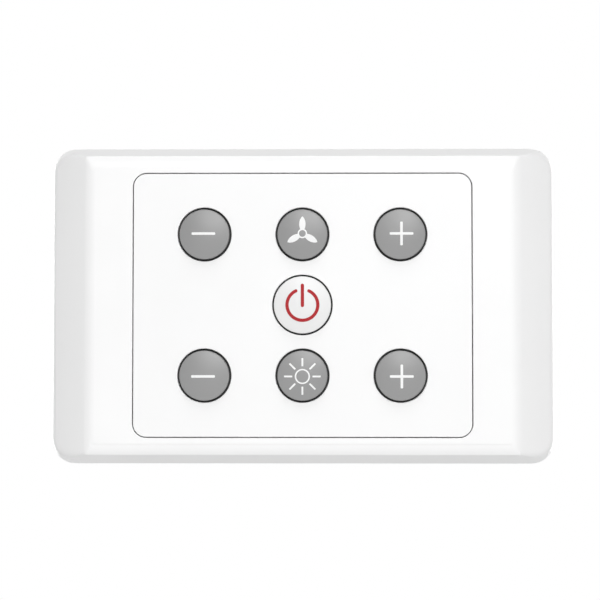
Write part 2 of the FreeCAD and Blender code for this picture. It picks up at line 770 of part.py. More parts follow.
def makeCircuitBoard():
    width = "#bossSpacingAcross - #bossDiameter - 2 * #boardGap"
    return block("circuit_board", width, "#boardHeight", "#boardThickness", forward=BOARD_FRONT)


def makeController():
    return block("controller_chip", "#chipWidth", "#chipHeight", "#chipThickness",
                 "-#buttonPitchAcross / 2", "#buttonPitchUp / 2", forward="#baseThickness + #padLift")


# mounting plate: screwed to the wall box, it carries the panel and the surround's clips

def makeMountingPlate():
    body = startBody("mounting_plate")
    outline = newSketch(body, "mounting_outline")
    rectangle(outline, "#plateWidth - 2 * #coverWall - 2 * #baseGap",
              "#plateHeight - 2 * #edgeWall - 2 * #baseEdgeGap")
    plate = pad(body, outline, "#baseThickness", "mounting_plate_web")
    roundCorners(body, plate, "#baseCorner", "mounting_corners")

    ledge = newSketch(body, "board_ledge", level="#baseThickness")
    rectangle(ledge, "#windowWidth + 2 * #padWidth", "#windowHeight + 2 * #padWidth")
    raised = pad(body, ledge, "#padLift", "board_ledge_pad")
    window = newSketch(body, "window_outline", level="#baseThickness + #padLift")
    rectangle(window, "#windowWidth", "#windowHeight")
    pocket(body, window, "#baseThickness + #padLift", "window_cut")

    slots = newSketch(body, "fixing_slots", level="#baseThickness")
    for side in ("-", ""):
        slot(slots, "#fixingSlotLength", "#fixingSlotWidth", side + "#fixingSpacing / 2")
    pocket(body, slots, "#baseThickness", "fixing_slots_cut")

    screws = newSketch(body, "screw_holes", level="#baseThickness")
    for across, up in CORNERS:
        circle(screws, "#screwDiameter + 2 * #screwHoleGap", across, up)
    pocket(body, screws, "#baseThickness", "screw_holes_cut")

    armInner = "(%s) / 2 - #clipGap" % OPENING_HEIGHT
    barbInner = "(%s) / 2 - #clipGap - #clipBarb" % OPENING_HEIGHT
    edge = "#plateHeight / 2"
    notches = newSketch(body, "clip_notches", level="#baseThickness")
    hooks = newSketch(body, "clip_undercuts", level="#clipLift + #clipBarbHeight + #clipGap")
    for side in ("-", ""):
        for row in ("-", ""):
            for sketch, inner in ((notches, armInner), (hooks, barbInner)):
                rectangle(sketch, "#clipWidth + 2 * #clipGap", "%s - (%s)" % (edge, inner),
                          side + "#clipSpacing / 2", "%s((%s + %s) / 2)" % (row, edge, inner))
    pocket(body, notches, "#baseThickness", "clip_notches_cut")
    pocket(body, hooks, "#baseThickness", "clip_undercuts_cut")
    return body


# rear housing with its four screws

def makeHousing():
    body = startBody("rear_housing")
    flange = newSketch(body, "housing_flange_outline")
    rectangle(flange, "#flangeWidth", "#flangeHeight")
    lip = pad(body, flange, "#housingFlange", "housing_flange", backward=True)
    roundCorners(body, lip, "#flangeCorner", "housing_flange_corners")

    box = newSketch(body, "housing_box_outline", level="-#housingFlange")
    rectangle(box, "#housingWidth", "#housingHeight")
    raised = pad(body, box, "#housingDepth - #housingFlange", "housing_box", backward=True)
    doc.recompute()

    def isBoxCorner(edge):
        middle = edge.CenterOfMass
        return (isAlong(edge, DEEP) and middle.y > size("housingFlange")
                and abs(abs(middle.x) - size("housingWidth") / 2) < 1e-4)

    fillet(body, raised, edgesWhere(raised.Shape, isBoxCorner), "#housingCorner", "housing_box_corners")
    inside = newSketch(body, "housing_inside")
    rectangle(inside, "#housingWidth - 2 * #housingWall", "#housingHeight - 2 * #housingWall")
    pocket(body, inside, "#housingDepth - #housingWall", "housing_hollow")

    # four posts carry the supply board
    posts = newSketch(body, "housing_posts", level="-(#supplyBoardDepth + #boardThickness)")
    innerWidth = "(#housingWidth - 2 * #housingWall)"
    innerHeight = "(#housingHeight - 2 * #housingWall)"
    for side in ("-", ""):
        rectangle(posts, "#supplyPostWidth", "#supplyPostWidth",
                  "%s(%s / 2 - #supplyPostWidth / 2)" % (side, innerWidth),
                  "%s / 2 - #supplyPostWidth / 2" % innerHeight)
        rectangle(posts, "#supplyPostWidth", "#supplyPostWidth",
                  "%s(%s / 2 - #supplyPostWidth / 2)" % (side, innerWidth),
                  "-(%s / 2 - #supplyPostWidth / 2)" % innerHeight)
    pad(body, posts, "#housingDepth - #housingWall - #supplyBoardDepth - #boardThickness",
        "housing_posts_block", backward=True)

    # the terminals look out through a notch in the back and the underside
    notch = newSketch(body, "terminal_notch", level="-#housingDepth")
    rectangle(notch, "#terminalCount * #terminalPitch + 2 * #terminalGap",
              "2 * (#terminalDepth + #terminalGap)", up="-#housingHeight / 2")
    pocket(body, notch, "#housingDepth - #supplyBoardDepth - #boardThickness", "terminal_notch_cut",
           forward=True)

    holes = newSketch(body, "housing_screw_holes")
    for across, up in CORNERS:
        circle(holes, "#screwDiameter + 2 * #screwHoleGap", across, up)
    pocket(body, holes, "#housingFlange", "housing_screw_holes_cut")
    return body


def makeScrews():
    """Four self-tapping screws, from behind the flange into the panel's bosses."""
    body = startBody("housing_screws", forward="-#housingFlange")
    heads = newSketch(body, "screw_heads")
    shanks = newSketch(body, "screw_shanks")
    for across, up in CORNERS:
        circle(heads, "#screwHeadDiameter", across, up)
        circle(shanks, "#screwDiameter", across, up)
    pad(body, heads, "#screwHeadHeight", "screw_heads_block", backward=True)
    pad(body, shanks, "#screwLength", "screw_shanks_block")
    return body


# supply board, held in the rear housing, and what it carries

SUPPLY_FRONT = "-#supplyBoardDepth"
SUPPLY_WIDTH = "#housingWidth - 2 * #housingWall - 2 * #supplyBoardGap"
SUPPLY_HEIGHT = "#housingHeight - 2 * #housingWall - 2 * #supplyBoardGap"


def makeSupplyBoard():
    return block("supply_board", SUPPLY_WIDTH, SUPPLY_HEIGHT, "#boardThickness", forward=SUPPLY_FRONT)


def onSupplyBoard(depth):
    """The level of the front face of a component that stands this high on the supply board."""
    return "-#supplyBoardDepth + %s" % depth


def makeTransformer():
    across = "-(%s) / 2 + #transformerWidth / 2 + #supplyMargin" % SUPPLY_WIDTH
    up = "(%s) / 2 - #transformerHeight / 2 - #supplyMargin" % SUPPLY_HEIGHT
    core = block("transformer_core", "#transformerWidth", "#transformerHeight - 2 * #windingOverhang",
                 "#transformerDepth", across, up, onSupplyBoard("#transformerDepth"))
    winding = block("transformer_winding", "#windingWidth", "#transformerHeight", "#windingDepth",
                    across, up, onSupplyBoard("(#transformerDepth - #windingSink)"))
    return fused("supply_transformer", [core, winding])


def makeRelay():
    return block("switching_relay", "#relayWidth", "#relayHeight", "#relayDepth",
                 "(%s) / 2 - #relayWidth / 2 - #supplyMargin" % SUPPLY_WIDTH,
                 "(%s) / 2 - #relayHeight / 2 - #supplyMargin" % SUPPLY_HEIGHT,
                 onSupplyBoard("#relayDepth"), "#relayCorner")


def makeFilmCapacitor():
    return block("film_capacitor", "#filmCapacitorWidth", "#filmCapacitorHeight", "#filmCapacitorDepth",
                 "(%s) / 2 - #filmCapacitorWidth / 2 - #supplyMargin" % SUPPLY_WIDTH,
                 "-#filmCapacitorHeight", onSupplyBoard("#filmCapacitorDepth"), "#filmCapacitorCorner")


def makeSmoothingCapacitor():
    can = doc.addObject("Part::Cylinder", "smoothing_capacitor")
    can.Label = "smoothing_capacitor"
    can.setExpression("Radius", bound("#smoothingDiameter / 2"))
    can.setExpression("Height", bound("#smoothingDepth"))
    can.Placement = FreeCAD.Placement(FreeCAD.Vector(0, 0, 0), FreeCAD.Rotation(ACROSS, -90))
    inset = "#smoothingDiameter / 2 + #supplyMargin"
    nudge(can, "-(%s) / 2 + %s" % (SUPPLY_WIDTH, inset), onSupplyBoard("#smoothingDepth"),
          "-(%s) / 2 + %s" % (SUPPLY_HEIGHT, inset))
    return can


def makeLinkHeader():
    """The pin strip that joins the two boards."""
    front = "#baseThickness + #padLift"
    depth = "#supplyBoardDepth + " + front
    return block("link_header", "#headerWidth", "#headerHeight", depth, forward=front)


# supply terminals: a block of chambers with a rising clamp and a screw in each

TERMINAL_FRONT = "-(#supplyBoardDepth + #boardThickness)"
TERMINAL_BACK = "#housingDepth + #terminalProud"
TERMINAL_ROW = "-#housingHeight / 2 + #terminalDepth / 2"
TERMINALS = ["(%d - (#terminalCount - 1) / 2) * #terminalPitch" % k
             for k in range(int(size("terminalCount")))]


def makeTerminalBlock():
    body = startBody("terminal_block", up=TERMINAL_ROW)
    outline = newSketch(body, "terminal_outline", level=TERMINAL_FRONT)
    rectangle(outline, "#terminalCount * #terminalPitch", "#terminalDepth")
    pad(body, outline, "%s + (%s)" % (TERMINAL_BACK, TERMINAL_FRONT), "terminal_block_body", backward=True)
    chambers = newSketch(body, "terminal_chambers", level="-(%s)" % TERMINAL_BACK)
    entries = newSketch(body, "terminal_entries", level=TERMINAL_FRONT + " - #terminalFloor")
    for across in TERMINALS:
        rectangle(chambers, "#chamberWidth", "#chamberWidth", across)
        rectangle(entries, "#chamberWidth", "#terminalDepth", across, "-#terminalDepth / 2")
    pocket(body, chambers, "%s + (%s) - #terminalFloor" % (TERMINAL_BACK, TERMINAL_FRONT),
           "terminal_chambers_cut", forward=True)
    pocket(body, entries, "#entryBack", "terminal_entries_cut")
    return body


def makeTerminalClamps():
    """Brass cages, open towards the wire entries, with a threaded bore for each screw."""
    body = startBody("terminal_clamps", up=TERMINAL_ROW)
    width = "#chamberWidth - 2 * #chamberGap"
    depth = "#entryBack + #clampBack"
    front = TERMINAL_FRONT + " - #terminalFloor"
    outline = newSketch(body, "clamp_outline", level=front)
    openings = newSketch(body, "clamp_openings", level=front + " - #clampWall")
    bores = newSketch(body, "clamp_bores", level="%s - (%s)" % (front, depth))
    for across in TERMINALS:
        rectangle(outline, width, width, across)
        rectangle(openings, "%s - 2 * #clampWall" % width, "2 * (%s)" % width, across)
        circle(bores, "#terminalScrewDiameter + 2 * #terminalScrewGap", across)
    pad(body, outline, depth, "clamp_cages", backward=True)
    pocket(body, openings, "#entryBack - #clampWall", "clamp_openings_cut")
    pocket(body, bores, "#clampBack + #clampWall", "clamp_bores_cut", forward=True)
    return body


def makeTerminalScrews():
    back = "%s - #terminalScrewSink" % TERMINAL_BACK
    body = startBody("terminal_screws", up=TERMINAL_ROW, forward="-(%s)" % back)
    shanks = newSketch(body, "terminal_screw_outline")
    slots = newSketch(body, "terminal_screw_slots")
    for across in TERMINALS:
        circle(shanks, "#terminalScrewDiameter", across)
        rectangle(slots, "2 * #terminalScrewDiameter", "#terminalSlotWidth", across)
    pad(body, shanks, "#terminalScrewLength", "terminal_screw_shanks")
    pocket(body, slots, "#terminalSlotDepth", "terminal_screw_slots_cut", forward=True)
    return body


parts = [makeSurround(), makePanel()]
for name, across, up, diameter, legend in BUTTONS:
    parts += makeButton(name, across, up, diameter, legend)
    parts += [makeSwitch(name, across, up), makePlunger(name, across, up)]
parts += [makeCircuitBoard(), makeController(), makeMountingPlate(), makeHousing(), makeScrews()]
parts += [makeSupplyBoard(), makeTransformer()]
parts += [makeRelay(), makeFilmCapacitor(), makeSmoothingCapacitor(), makeLinkHeader()]
parts += [makeTerminalBlock(), makeTerminalClamps(), makeTerminalScrews()]
doc.recompute()

for item in doc.Objects:
    if "Invalid" in item.State or "Error" in item.State:
        raise RuntimeError("%s failed: %s" % (item.Label, item.State))
for part in parts:
    if part.Shape.isNull() or not part.Shape.isValid() or not part.Shape.Solids:
        raise RuntimeError("%s has no valid solid" % part.Label)

os.makedirs("parts", exist_ok=True)
for part in parts:
    part.Shape.exportStep("parts/%s.step" % part.Label)
print("%d parts written" % len(parts))
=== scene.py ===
import json
import math

import bmesh
import bpy
from mathutils import Matrix, Vector

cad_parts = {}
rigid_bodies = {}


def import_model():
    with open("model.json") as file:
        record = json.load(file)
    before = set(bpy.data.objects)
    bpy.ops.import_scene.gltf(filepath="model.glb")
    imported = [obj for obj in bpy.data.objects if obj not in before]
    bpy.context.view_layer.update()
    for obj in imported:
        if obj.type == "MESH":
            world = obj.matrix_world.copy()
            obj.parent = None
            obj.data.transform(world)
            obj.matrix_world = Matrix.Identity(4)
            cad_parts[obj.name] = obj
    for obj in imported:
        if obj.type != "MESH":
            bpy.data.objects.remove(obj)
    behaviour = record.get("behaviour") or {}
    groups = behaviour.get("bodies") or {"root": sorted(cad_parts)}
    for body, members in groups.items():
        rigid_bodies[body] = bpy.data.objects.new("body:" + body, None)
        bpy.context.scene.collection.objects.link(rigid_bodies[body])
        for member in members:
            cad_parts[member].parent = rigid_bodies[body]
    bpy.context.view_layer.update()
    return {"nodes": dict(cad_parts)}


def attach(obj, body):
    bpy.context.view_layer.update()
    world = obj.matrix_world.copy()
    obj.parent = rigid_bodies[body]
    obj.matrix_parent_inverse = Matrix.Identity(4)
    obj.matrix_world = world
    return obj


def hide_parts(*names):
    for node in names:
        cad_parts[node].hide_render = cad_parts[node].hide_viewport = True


for leftover in list(bpy.data.objects):
    bpy.data.objects.remove(leftover)

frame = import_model()
nodes = frame["nodes"]
scene = bpy.context.scene
mm = 0.001  # in metres
weld = 0.0005  # in millimetres; points that lie closer together are merged
tiny = 1e-9
print("frame loaded with %d nodes" % len(nodes))


# mesh helpers; every piece is drawn in millimetres and scaled when it is finished

def meshOf(points, faces):
    mesh = bpy.data.meshes.new("shape")
    mesh.from_pydata(points, [], faces)
    return mesh


def tidied(mesh, join=weld):
    # merges doubles and turns the faces outwards
    work = bmesh.new()
    work.from_mesh(mesh)
    bmesh.ops.remove_doubles(work, verts=work.verts, dist=join)
    bmesh.ops.dissolve_degenerate(work, edges=work.edges, dist=join)
    bmesh.ops.recalc_face_normals(work, faces=work.faces)
    work.to_mesh(mesh)
    work.free()
    return mesh


def joined(*meshes):
    # one mesh from several
    work = bmesh.new()
    for mesh in meshes:
        work.from_mesh(mesh)
    result = bpy.data.meshes.new("shape")
    work.to_mesh(result)
    work.free()
    return result


def settled(worker):
    # the evaluated shape as a plain mesh, without its modifiers
    graph = bpy.context.evaluated_depsgraph_get()
    mesh = bpy.data.meshes.new_from_object(worker.evaluated_get(graph))
    bpy.data.objects.remove(worker)
    return mesh


def workerFor(data):
    # an object in the scene for a mesh or a curve
    worker = bpy.data.objects.new("worker", data)
    scene.collection.objects.link(worker)
    return worker


def shaded(mesh, sharpAngle=50.0):
    # smooth shading that keeps flats flat and creases sharp
    mesh.polygons.foreach_set("use_smooth", [True] * len(mesh.polygons))
    mesh.set_sharp_from_angle(angle=math.radians(sharpAngle))
    worker = workerFor(mesh)
    weighted = worker.modifiers.new("evenNormals", "WEIGHTED_NORMAL")
    weighted.keep_sharp = True
    return settled(worker)


def softened(mesh, width, segments=2):
    # a small round on every edge that bends by more than 40 degrees
    worker = workerFor(mesh)
    bevel = worker.modifiers.new("softEdges", "BEVEL")
    bevel.width = width
    bevel.segments = segments
    bevel.limit_method = "ANGLE"
    bevel.angle_limit = math.radians(40.0)
    return shaded(settled(worker))


def nodeMesh(node):
    # a merged copy of a construction solid, in millimetres
    mesh = nodes[node].data.copy()
    mesh.transform(Matrix.Scale(1 / mm, 4))
    work = bmesh.new()
    work.from_mesh(mesh)
    bmesh.ops.remove_doubles(work, verts=work.verts, dist=weld)
    bmesh.ops.dissolve_limit(work, angle_limit=math.radians(0.5), verts=work.verts, edges=work.edges)
    work.to_mesh(mesh)
    work.free()
    return mesh


def finished(name, mesh, body, finish, replacing=()):
    # puts a mesh in the scene at its true size, as a piece that rides on its body
    mesh.name = name
    mesh.transform(Matrix.Scale(mm, 4))
    mesh.materials.clear()
    mesh.materials.append(finish)
    mesh.polygons.foreach_set("material_index", [0] * len(mesh.polygons))
    piece = workerFor(mesh)
    piece.name = name
    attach(piece, body)
    if replacing:
        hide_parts(*replacing)


def quarterTurn(steps):
    # the sine and the cosine at even steps from 0 to a right angle
    angles = [math.pi / 2 * k / steps for k in range(steps + 1)]
    return [(math.sin(angle), math.cos(angle)) for angle in angles]


def mirrored(quarter, forward):
    # a ring from its upper right quarter of points (x, z), at one distance in front of the wall
    points = []
    for signX, signZ in ((1, 1), (-1, 1), (-1, -1), (1, -1)):
        part = quarter if signX == signZ else quarter[::-1]
        points += [(signX * x, -forward, signZ * z) for x, z in part]
    return points


def roundedRing(forward, halfWidth, halfHeight, radius, cornerSteps):
    # a rectangle with rounded corners
    return mirrored([(halfWidth - radius + radius * cosine, halfHeight - radius + radius * sine)
                     for sine, cosine in quarterTurn(cornerSteps)], forward)


def loftedRings(rings):
    # quads from ring to ring and from the last to the first; all rings have the same number of points
    count = len(rings[0])
    points = [point for ring in rings for point in ring]
    faces = []
    for k in range(len(rings)):
        here = k * count
        there = (k + 1) % len(rings) * count
        for n in range(count):
            after = (n + 1) % count
            faces.append((here + n, here + after, there + after, there + n))
    return meshOf(points, faces)


def prism(near, far):
    # a solid between two rings of points
    count = len(near)
    faces = [tuple(range(count)), tuple(range(2 * count - 1, count - 1, -1))]
    faces += [(k, count + k, count + (k + 1) % count, (k + 1) % count) for k in range(count)]
    return tidied(meshOf(near + far, faces))


def extrudedProfile(corners, axis, low, high):
    # a prism along X or Z from corners (sideways, forward)
    def place(sideways, forward, along):
        return (along, -forward, sideways) if axis == "X" else (sideways, -forward, along)
    return prism([place(s, f, low) for s, f in corners], [place(s, f, high) for s, f in corners])


def block(low, high):
    # a box between two of its corners
    corners = [(x, y, z) for x in (low[0], high[0]) for y in (low[1], high[1]) for z in (low[2], high[2])]
    faces = [(0, 1, 3, 2), (4, 6, 7, 5), (0, 4, 5, 1), (2, 3, 7, 6), (0, 2, 6, 4), (1, 5, 7, 3)]
    return tidied(meshOf(corners, faces))


# Geometry Nodes helpers

def startTree(name, sockets):
    # a tree for a mesh, with named inputs
    tree = bpy.data.node_groups.new(name, "GeometryNodeTree")
    tree.interface.new_socket("Geometry", in_out="INPUT", socket_type="NodeSocketGeometry")
    for label, kind, value in sockets:
        socket = tree.interface.new_socket(label, in_out="INPUT", socket_type="NodeSocket" + kind)
        if value is not None:
            socket.default_value = value
    tree.interface.new_socket("Geometry", in_out="OUTPUT", socket_type="NodeSocketGeometry")
    entry = tree.nodes.new("NodeGroupInput")
    return tree, entry.outputs


def enabledSocket(sockets, key):
    if isinstance(key, int):
        return sockets[key]
    return next(socket for socket in sockets if socket.name == key and socket.enabled)


def put(tree, kind, inputs=None, output=0, **settings):
    # adds a node, fills or links its inputs, and gives one of its outputs
    node = tree.nodes.new(kind)
    for key, value in settings.items():
        setattr(node, key, value)
    for key, value in (inputs or {}).items():
        socket = enabledSocket(node.inputs, key)
        if isinstance(value, bpy.types.NodeSocket):
            tree.links.new(value, socket)
        else:
            socket.default_value = value
    return enabledSocket(node.outputs, output)


def calc(tree, operation, first, second=0.0):
    return put(tree, "ShaderNodeMath", {0: first, 1: second}, operation=operation)


def vector(tree, x=0.0, y=0.0, z=0.0):
    return put(tree, "ShaderNodeCombineXYZ", {"X": x, "Y": y, "Z": z})


def parts(tree):
    # each point's place as X, Y and Z
    return put(tree, "ShaderNodeSeparateXYZ", {0: put(tree, "GeometryNodeInputPosition")}).node.outputs


def endTree(tree, geometry, material):
    # turns copies into plain faces and gives them their finish
    whole = put(tree, "GeometryNodeRealizeInstances", {"Geometry": geometry})
    dressed = put(tree, "GeometryNodeSetMaterial", {"Geometry": whole, "Material": material})
    leave = tree.nodes.new("NodeGroupOutput")
    tree.links.new(dressed, leave.inputs[0])
    return tree


def grown(mesh, tree, values):
    # runs a tree on a mesh, with its named inputs set by their identifiers
    worker = workerFor(mesh)
    modifier = worker.modifiers.new(tree.name, "NODES")
    modifier.node_group = tree
    for item in tree.interface.items_tree:
        if item.item_type == "SOCKET" and item.in_out == "INPUT" and item.name in values:
            modifier[item.identifier] = values[item.name]
    return settled(worker)


def buildSpunTree():
    # turns a profile, given as points (radius, depth, 0), round the Y axis
    tree, entry = startTree("spunShape", [("Segments", "Int", 96), ("Material", "Material", None)])
    rows = put(tree, "GeometryNodeAttributeDomainSize", {"Geometry": entry["Geometry"]}, "Point Count")
    columns = calc(tree, "ADD", entry["Segments"], 1.0)
    grid = put(tree, "GeometryNodeMeshGrid", {"Vertices X": columns, "Vertices Y": rows}, "Mesh")
    index = put(tree, "GeometryNodeInputIndex")
    row = calc(tree, "MODULO", index, rows)
    column = calc(tree, "FLOOR", calc(tree, "DIVIDE", index, rows))
    share = calc(tree, "DIVIDE", column, entry["Segments"])
    angle = calc(tree, "MULTIPLY", share, 2 * math.pi)
    place = put(tree, "GeometryNodeInputPosition")
    point = put(tree, "GeometryNodeSampleIndex", {
        "Geometry": entry["Geometry"], "Value": place, "Index": row},
        data_type="FLOAT_VECTOR", domain="POINT")
    turned = put(tree, "ShaderNodeVectorRotate", {"Vector": point, "Axis": (0.0, 1.0, 0.0), "Angle": angle})
    shaped = put(tree, "GeometryNodeSetPosition", {"Geometry": grid, "Position": turned})
    sealed = put(tree, "GeometryNodeMergeByDistance", {"Geometry": shaped, "Distance": weld})
    return endTree(tree, sealed, entry["Material"])


def buildCornerTree():
    # four copies at the corners of a rectangle; those on the left or below may be turned half round
    tree, entry = startTree("cornerCopies", [
        ("Across", "Float", 60.0), ("Up", "Float", 40.0), ("Turn Left", "Float", 0.0),
        ("Turn Low", "Float", 0.0), ("Material", "Material", None)])
    grid = put(tree, "GeometryNodeMeshGrid", {
        "Size X": 1.0, "Size Y": 1.0, "Vertices X": 2, "Vertices Y": 2}, "Mesh")
    place = parts(tree)
    left = calc(tree, "LESS_THAN", place["X"], 0.0)
    low = calc(tree, "LESS_THAN", place["Y"], 0.0)
    turns = calc(tree, "ADD", calc(tree, "MULTIPLY", left, entry["Turn Left"]),
                 calc(tree, "MULTIPLY", low, entry["Turn Low"]))
    turn = vector(tree, y=calc(tree, "MULTIPLY", turns, math.pi))
    spot = vector(tree, x=calc(tree, "MULTIPLY", place["X"], entry["Across"]),
                  z=calc(tree, "MULTIPLY", place["Y"], entry["Up"]))
    kept = put(tree, "GeometryNodeCaptureAttribute", {"Geometry": grid}).node
    kept.capture_items.new("VECTOR", "Turn")
    tree.links.new(turn, kept.inputs["Turn"])
    points = put(tree, "GeometryNodeSetPosition", {"Geometry": kept.outputs["Geometry"], "Position": spot})
    copies = put(tree, "GeometryNodeInstanceOnPoints", {
        "Points": points, "Instance": entry["Geometry"], "Rotation": kept.outputs["Turn"]})
    return endTree(tree, copies, entry["Material"])


def buildRowTree():
    # copies in a row along X, centred on the origin
    tree, entry = startTree("rowCopies", [
        ("Count", "Int", 4), ("Pitch", "Float", 5.0), ("Material", "Material", None)])
    span = calc(tree, "MULTIPLY", calc(tree, "SUBTRACT", entry["Count"], 1.0), entry["Pitch"])
    first = vector(tree, x=calc(tree, "MULTIPLY", span, -0.5))
    line = put(tree, "GeometryNodeMeshLine", {
        "Count": entry["Count"], "Start Location": first, "Offset": vector(tree, x=entry["Pitch"])})
    copies = put(tree, "GeometryNodeInstanceOnPoints", {"Points": line, "Instance": entry["Geometry"]})
    return endTree(tree, copies, entry["Material"])


def buildLegendTree():
    # spins the arms of a symbol round the cap's axis and drapes the whole on the cap's dome
    tree, entry = startTree("legendOnDome", [
        ("Copies", "Int", 4), ("Aside", "Float", 0.0), ("Lift", "Float", 0.0), ("Apex", "Float", 1.1),
        ("Dome Radius", "Float", 40.0), ("Material", "Material", None)])
    isArm = put(tree, "GeometryNodeInputNamedAttribute", {"Name": "arm"}, "Attribute", data_type="FLOAT")
    split = put(tree, "GeometryNodeSeparateGeometry", {
        "Geometry": entry["Geometry"], "Selection": calc(tree, "GREATER_THAN", isArm, 0.5)}, "Selection",
        domain="POINT").node
    points = put(tree, "GeometryNodePoints", {"Count": entry["Copies"]})
    share = calc(tree, "DIVIDE", put(tree, "GeometryNodeInputIndex"), entry["Copies"])
    turn = vector(tree, y=calc(tree, "MULTIPLY", share, 2 * math.pi))
    arms = put(tree, "GeometryNodeInstanceOnPoints", {
        "Points": points, "Instance": split.outputs["Selection"], "Rotation": turn})
    arms = put(tree, "GeometryNodeRealizeInstances", {"Geometry": arms})
    both = tree.nodes.new("GeometryNodeJoinGeometry")
    tree.links.new(arms, both.inputs[0])
    tree.links.new(split.outputs["Inverted"], both.inputs[0])
    moved = put(tree, "GeometryNodeSetPosition", {
        "Geometry": both.outputs[0], "Offset": vector(tree, x=entry["Aside"], z=entry["Lift"])})
    place = parts(tree)
    reach = calc(tree, "ADD", calc(tree, "MULTIPLY", place["X"], place["X"]),
                 calc(tree, "MULTIPLY", place["Z"], place["Z"]))
    squared = calc(tree, "MULTIPLY", entry["Dome Radius"], entry["Dome Radius"])
    fall = calc(tree, "SUBTRACT", entry["Dome Radius"],
                calc(tree, "SQRT", calc(tree, "SUBTRACT", squared, reach)))
    rise = calc(tree, "SUBTRACT", fall, entry["Apex"])
    draped = put(tree, "GeometryNodeSetPosition", {"Geometry": moved, "Offset": vector(tree, y=rise)})
    return endTree(tree, draped, entry["Material"])


spunTree = buildSpunTree()
cornerTree = buildCornerTree()
rowTree = buildRowTree()
legendTree = buildLegendTree()


def spun(profile, segments, finish):
    # a profile (radius, depth) turned round the Y axis, its seam and its ends closed
    line = meshOf([(radius, depth, 0.0) for radius, depth in profile], [])
    return tidied(grown(line, spunTree, {"Segments": segments, "Material": finish}))


print("geometry trees ready")


# finishes

def fromScreen(colour):
    # a colour as seen on a screen, 0 to 255, as a linear one
    shares = [value / 255 for value in colour]
    return tuple(share / 12.92 if share <= 0.04045 else ((share + 0.055) / 1.055) ** 2.4
                 for share in shares) + (1.0,)


def shades(colour, spread):
    # a darker and a lighter tone of one colour
    middle = fromScreen(colour)[:3]
    dark = tuple(channel * (1 - spread) for channel in middle) + (1.0,)
    light = tuple(min(1.0, channel * (1 + spread)) for channel in middle) + (1.0,)
    return dark, light


def startFinish(name, roughness, metallic=0.0):
    material = bpy.data.materials.new(name)
    material.use_nodes = True
    tree = material.node_tree
    shader = tree.nodes["Principled BSDF"]
    shader.inputs["Metallic"].default_value = metallic
    shader.inputs["Roughness"].default_value = roughness
    coords = put(tree, "ShaderNodeTexCoord", output="Object")
    return material, tree, shader, coords


def noise(tree, coords, scale, detail, stretch=None):
    if stretch:
        coords = put(tree, "ShaderNodeMapping", {"Vector": coords, "Scale": stretch})
    return put(tree, "ShaderNodeTexNoise", {"Vector": coords, "Scale": scale, "Detail": detail}, "Fac")


def ranged(tree, value, low, high, fromLow=0.3, fromHigh=0.7):
    # spreads the middle of a noise, or another range, from low to high
    return put(tree, "ShaderNodeMapRange", {
        "Value": value, "From Min": fromLow, "From Max": fromHigh, "To Min": low, "To Max": high})


def mixed(tree, factor, first, second):
    return put(tree, "ShaderNodeMix", {"Factor": factor, "A": first, "B": second}, "Result", data_type="RGBA")


def linked(tree, shader, colour, roughness, height, strength, depth):
    # a shader's colour, its roughness and the relief that comes from a height
    bump = put(tree, "ShaderNodeBump", {"Height": height, "Strength": strength, "Distance": depth})
    for name, value in (("Base Color", colour), ("Roughness", roughness), ("Normal", bump)):
        tree.links.new(value, shader.inputs[name])


moulding = {"toneScale": 45.0, "grainPolish": 0.015, "patchScale": 90.0, "patchPolish": 0.035}


def mouldedPlastic(name, colour, roughness, spread, texture, strength, depth, gleam=0.5):
    # slow shifts of tone, a fine grain in relief, and a polish that varies with the grain and in patches
    material, tree, shader, coords = startFinish(name, roughness)
    tone = ranged(tree, noise(tree, coords, moulding["toneScale"], 4.0), 0.0, 1.0)
    grain = noise(tree, coords, texture, 3.0)
    fine = ranged(tree, grain, -moulding["grainPolish"], moulding["grainPolish"])
    patches = noise(tree, coords, moulding["patchScale"], 2.0)
    wide = ranged(tree, patches, roughness - moulding["patchPolish"], roughness + moulding["patchPolish"])
    linked(tree, shader, mixed(tree, tone, *shades(colour, spread)), calc(tree, "ADD", fine, wide), grain,
           strength, depth)
    shader.inputs["Specular IOR Level"].default_value = gleam
    return material


plating = {
    "spread": 0.12, "patchScale": 700.0, "streakScale": 900.0, "smoother": 0.04, "duller": 0.12,
    "relief": 0.3, "reliefDepth": 0.00001,
}


def platedMetal(name, colour, roughness, brush):
    # drawn or turned metal: fine streaks along one direction and darker patches
    material, tree, shader, coords = startFinish(name, roughness, 1.0)
    patches = ranged(tree, noise(tree, coords, plating["patchScale"], 3.0), 0.0, 1.0)
    streaks = noise(tree, coords, plating["streakScale"], 4.0, brush)
    polish = ranged(tree, streaks, roughness - plating["smoother"], roughness + plating["duller"])
    linked(tree, shader, mixed(tree, patches, *shades(colour, plating["spread"])), polish, streaks,
           plating["relief"], plating["reliefDepth"])
    return material


laminate = {
    "mask": (26, 92, 52), "track": (44, 126, 72), "tin": (196, 196, 190), "weave": (0.01, 0.05, 0.02, 1.0),
    "trackScale": 300.0, "trackGap": 0.05, "trackLength": 2.3, "trackPitch": 0.6,
    "dotScale": 394.0, "dotRadius": 0.2, "scatterScale": 120.0, "scatter": 0.56,
    "weaveScale": 500.0, "weaveShare": 0.25, "maskRoughness": 0.34, "tinRoughness": 0.22,
    "relief": 0.5, "reliefDepth": 0.00003,
}


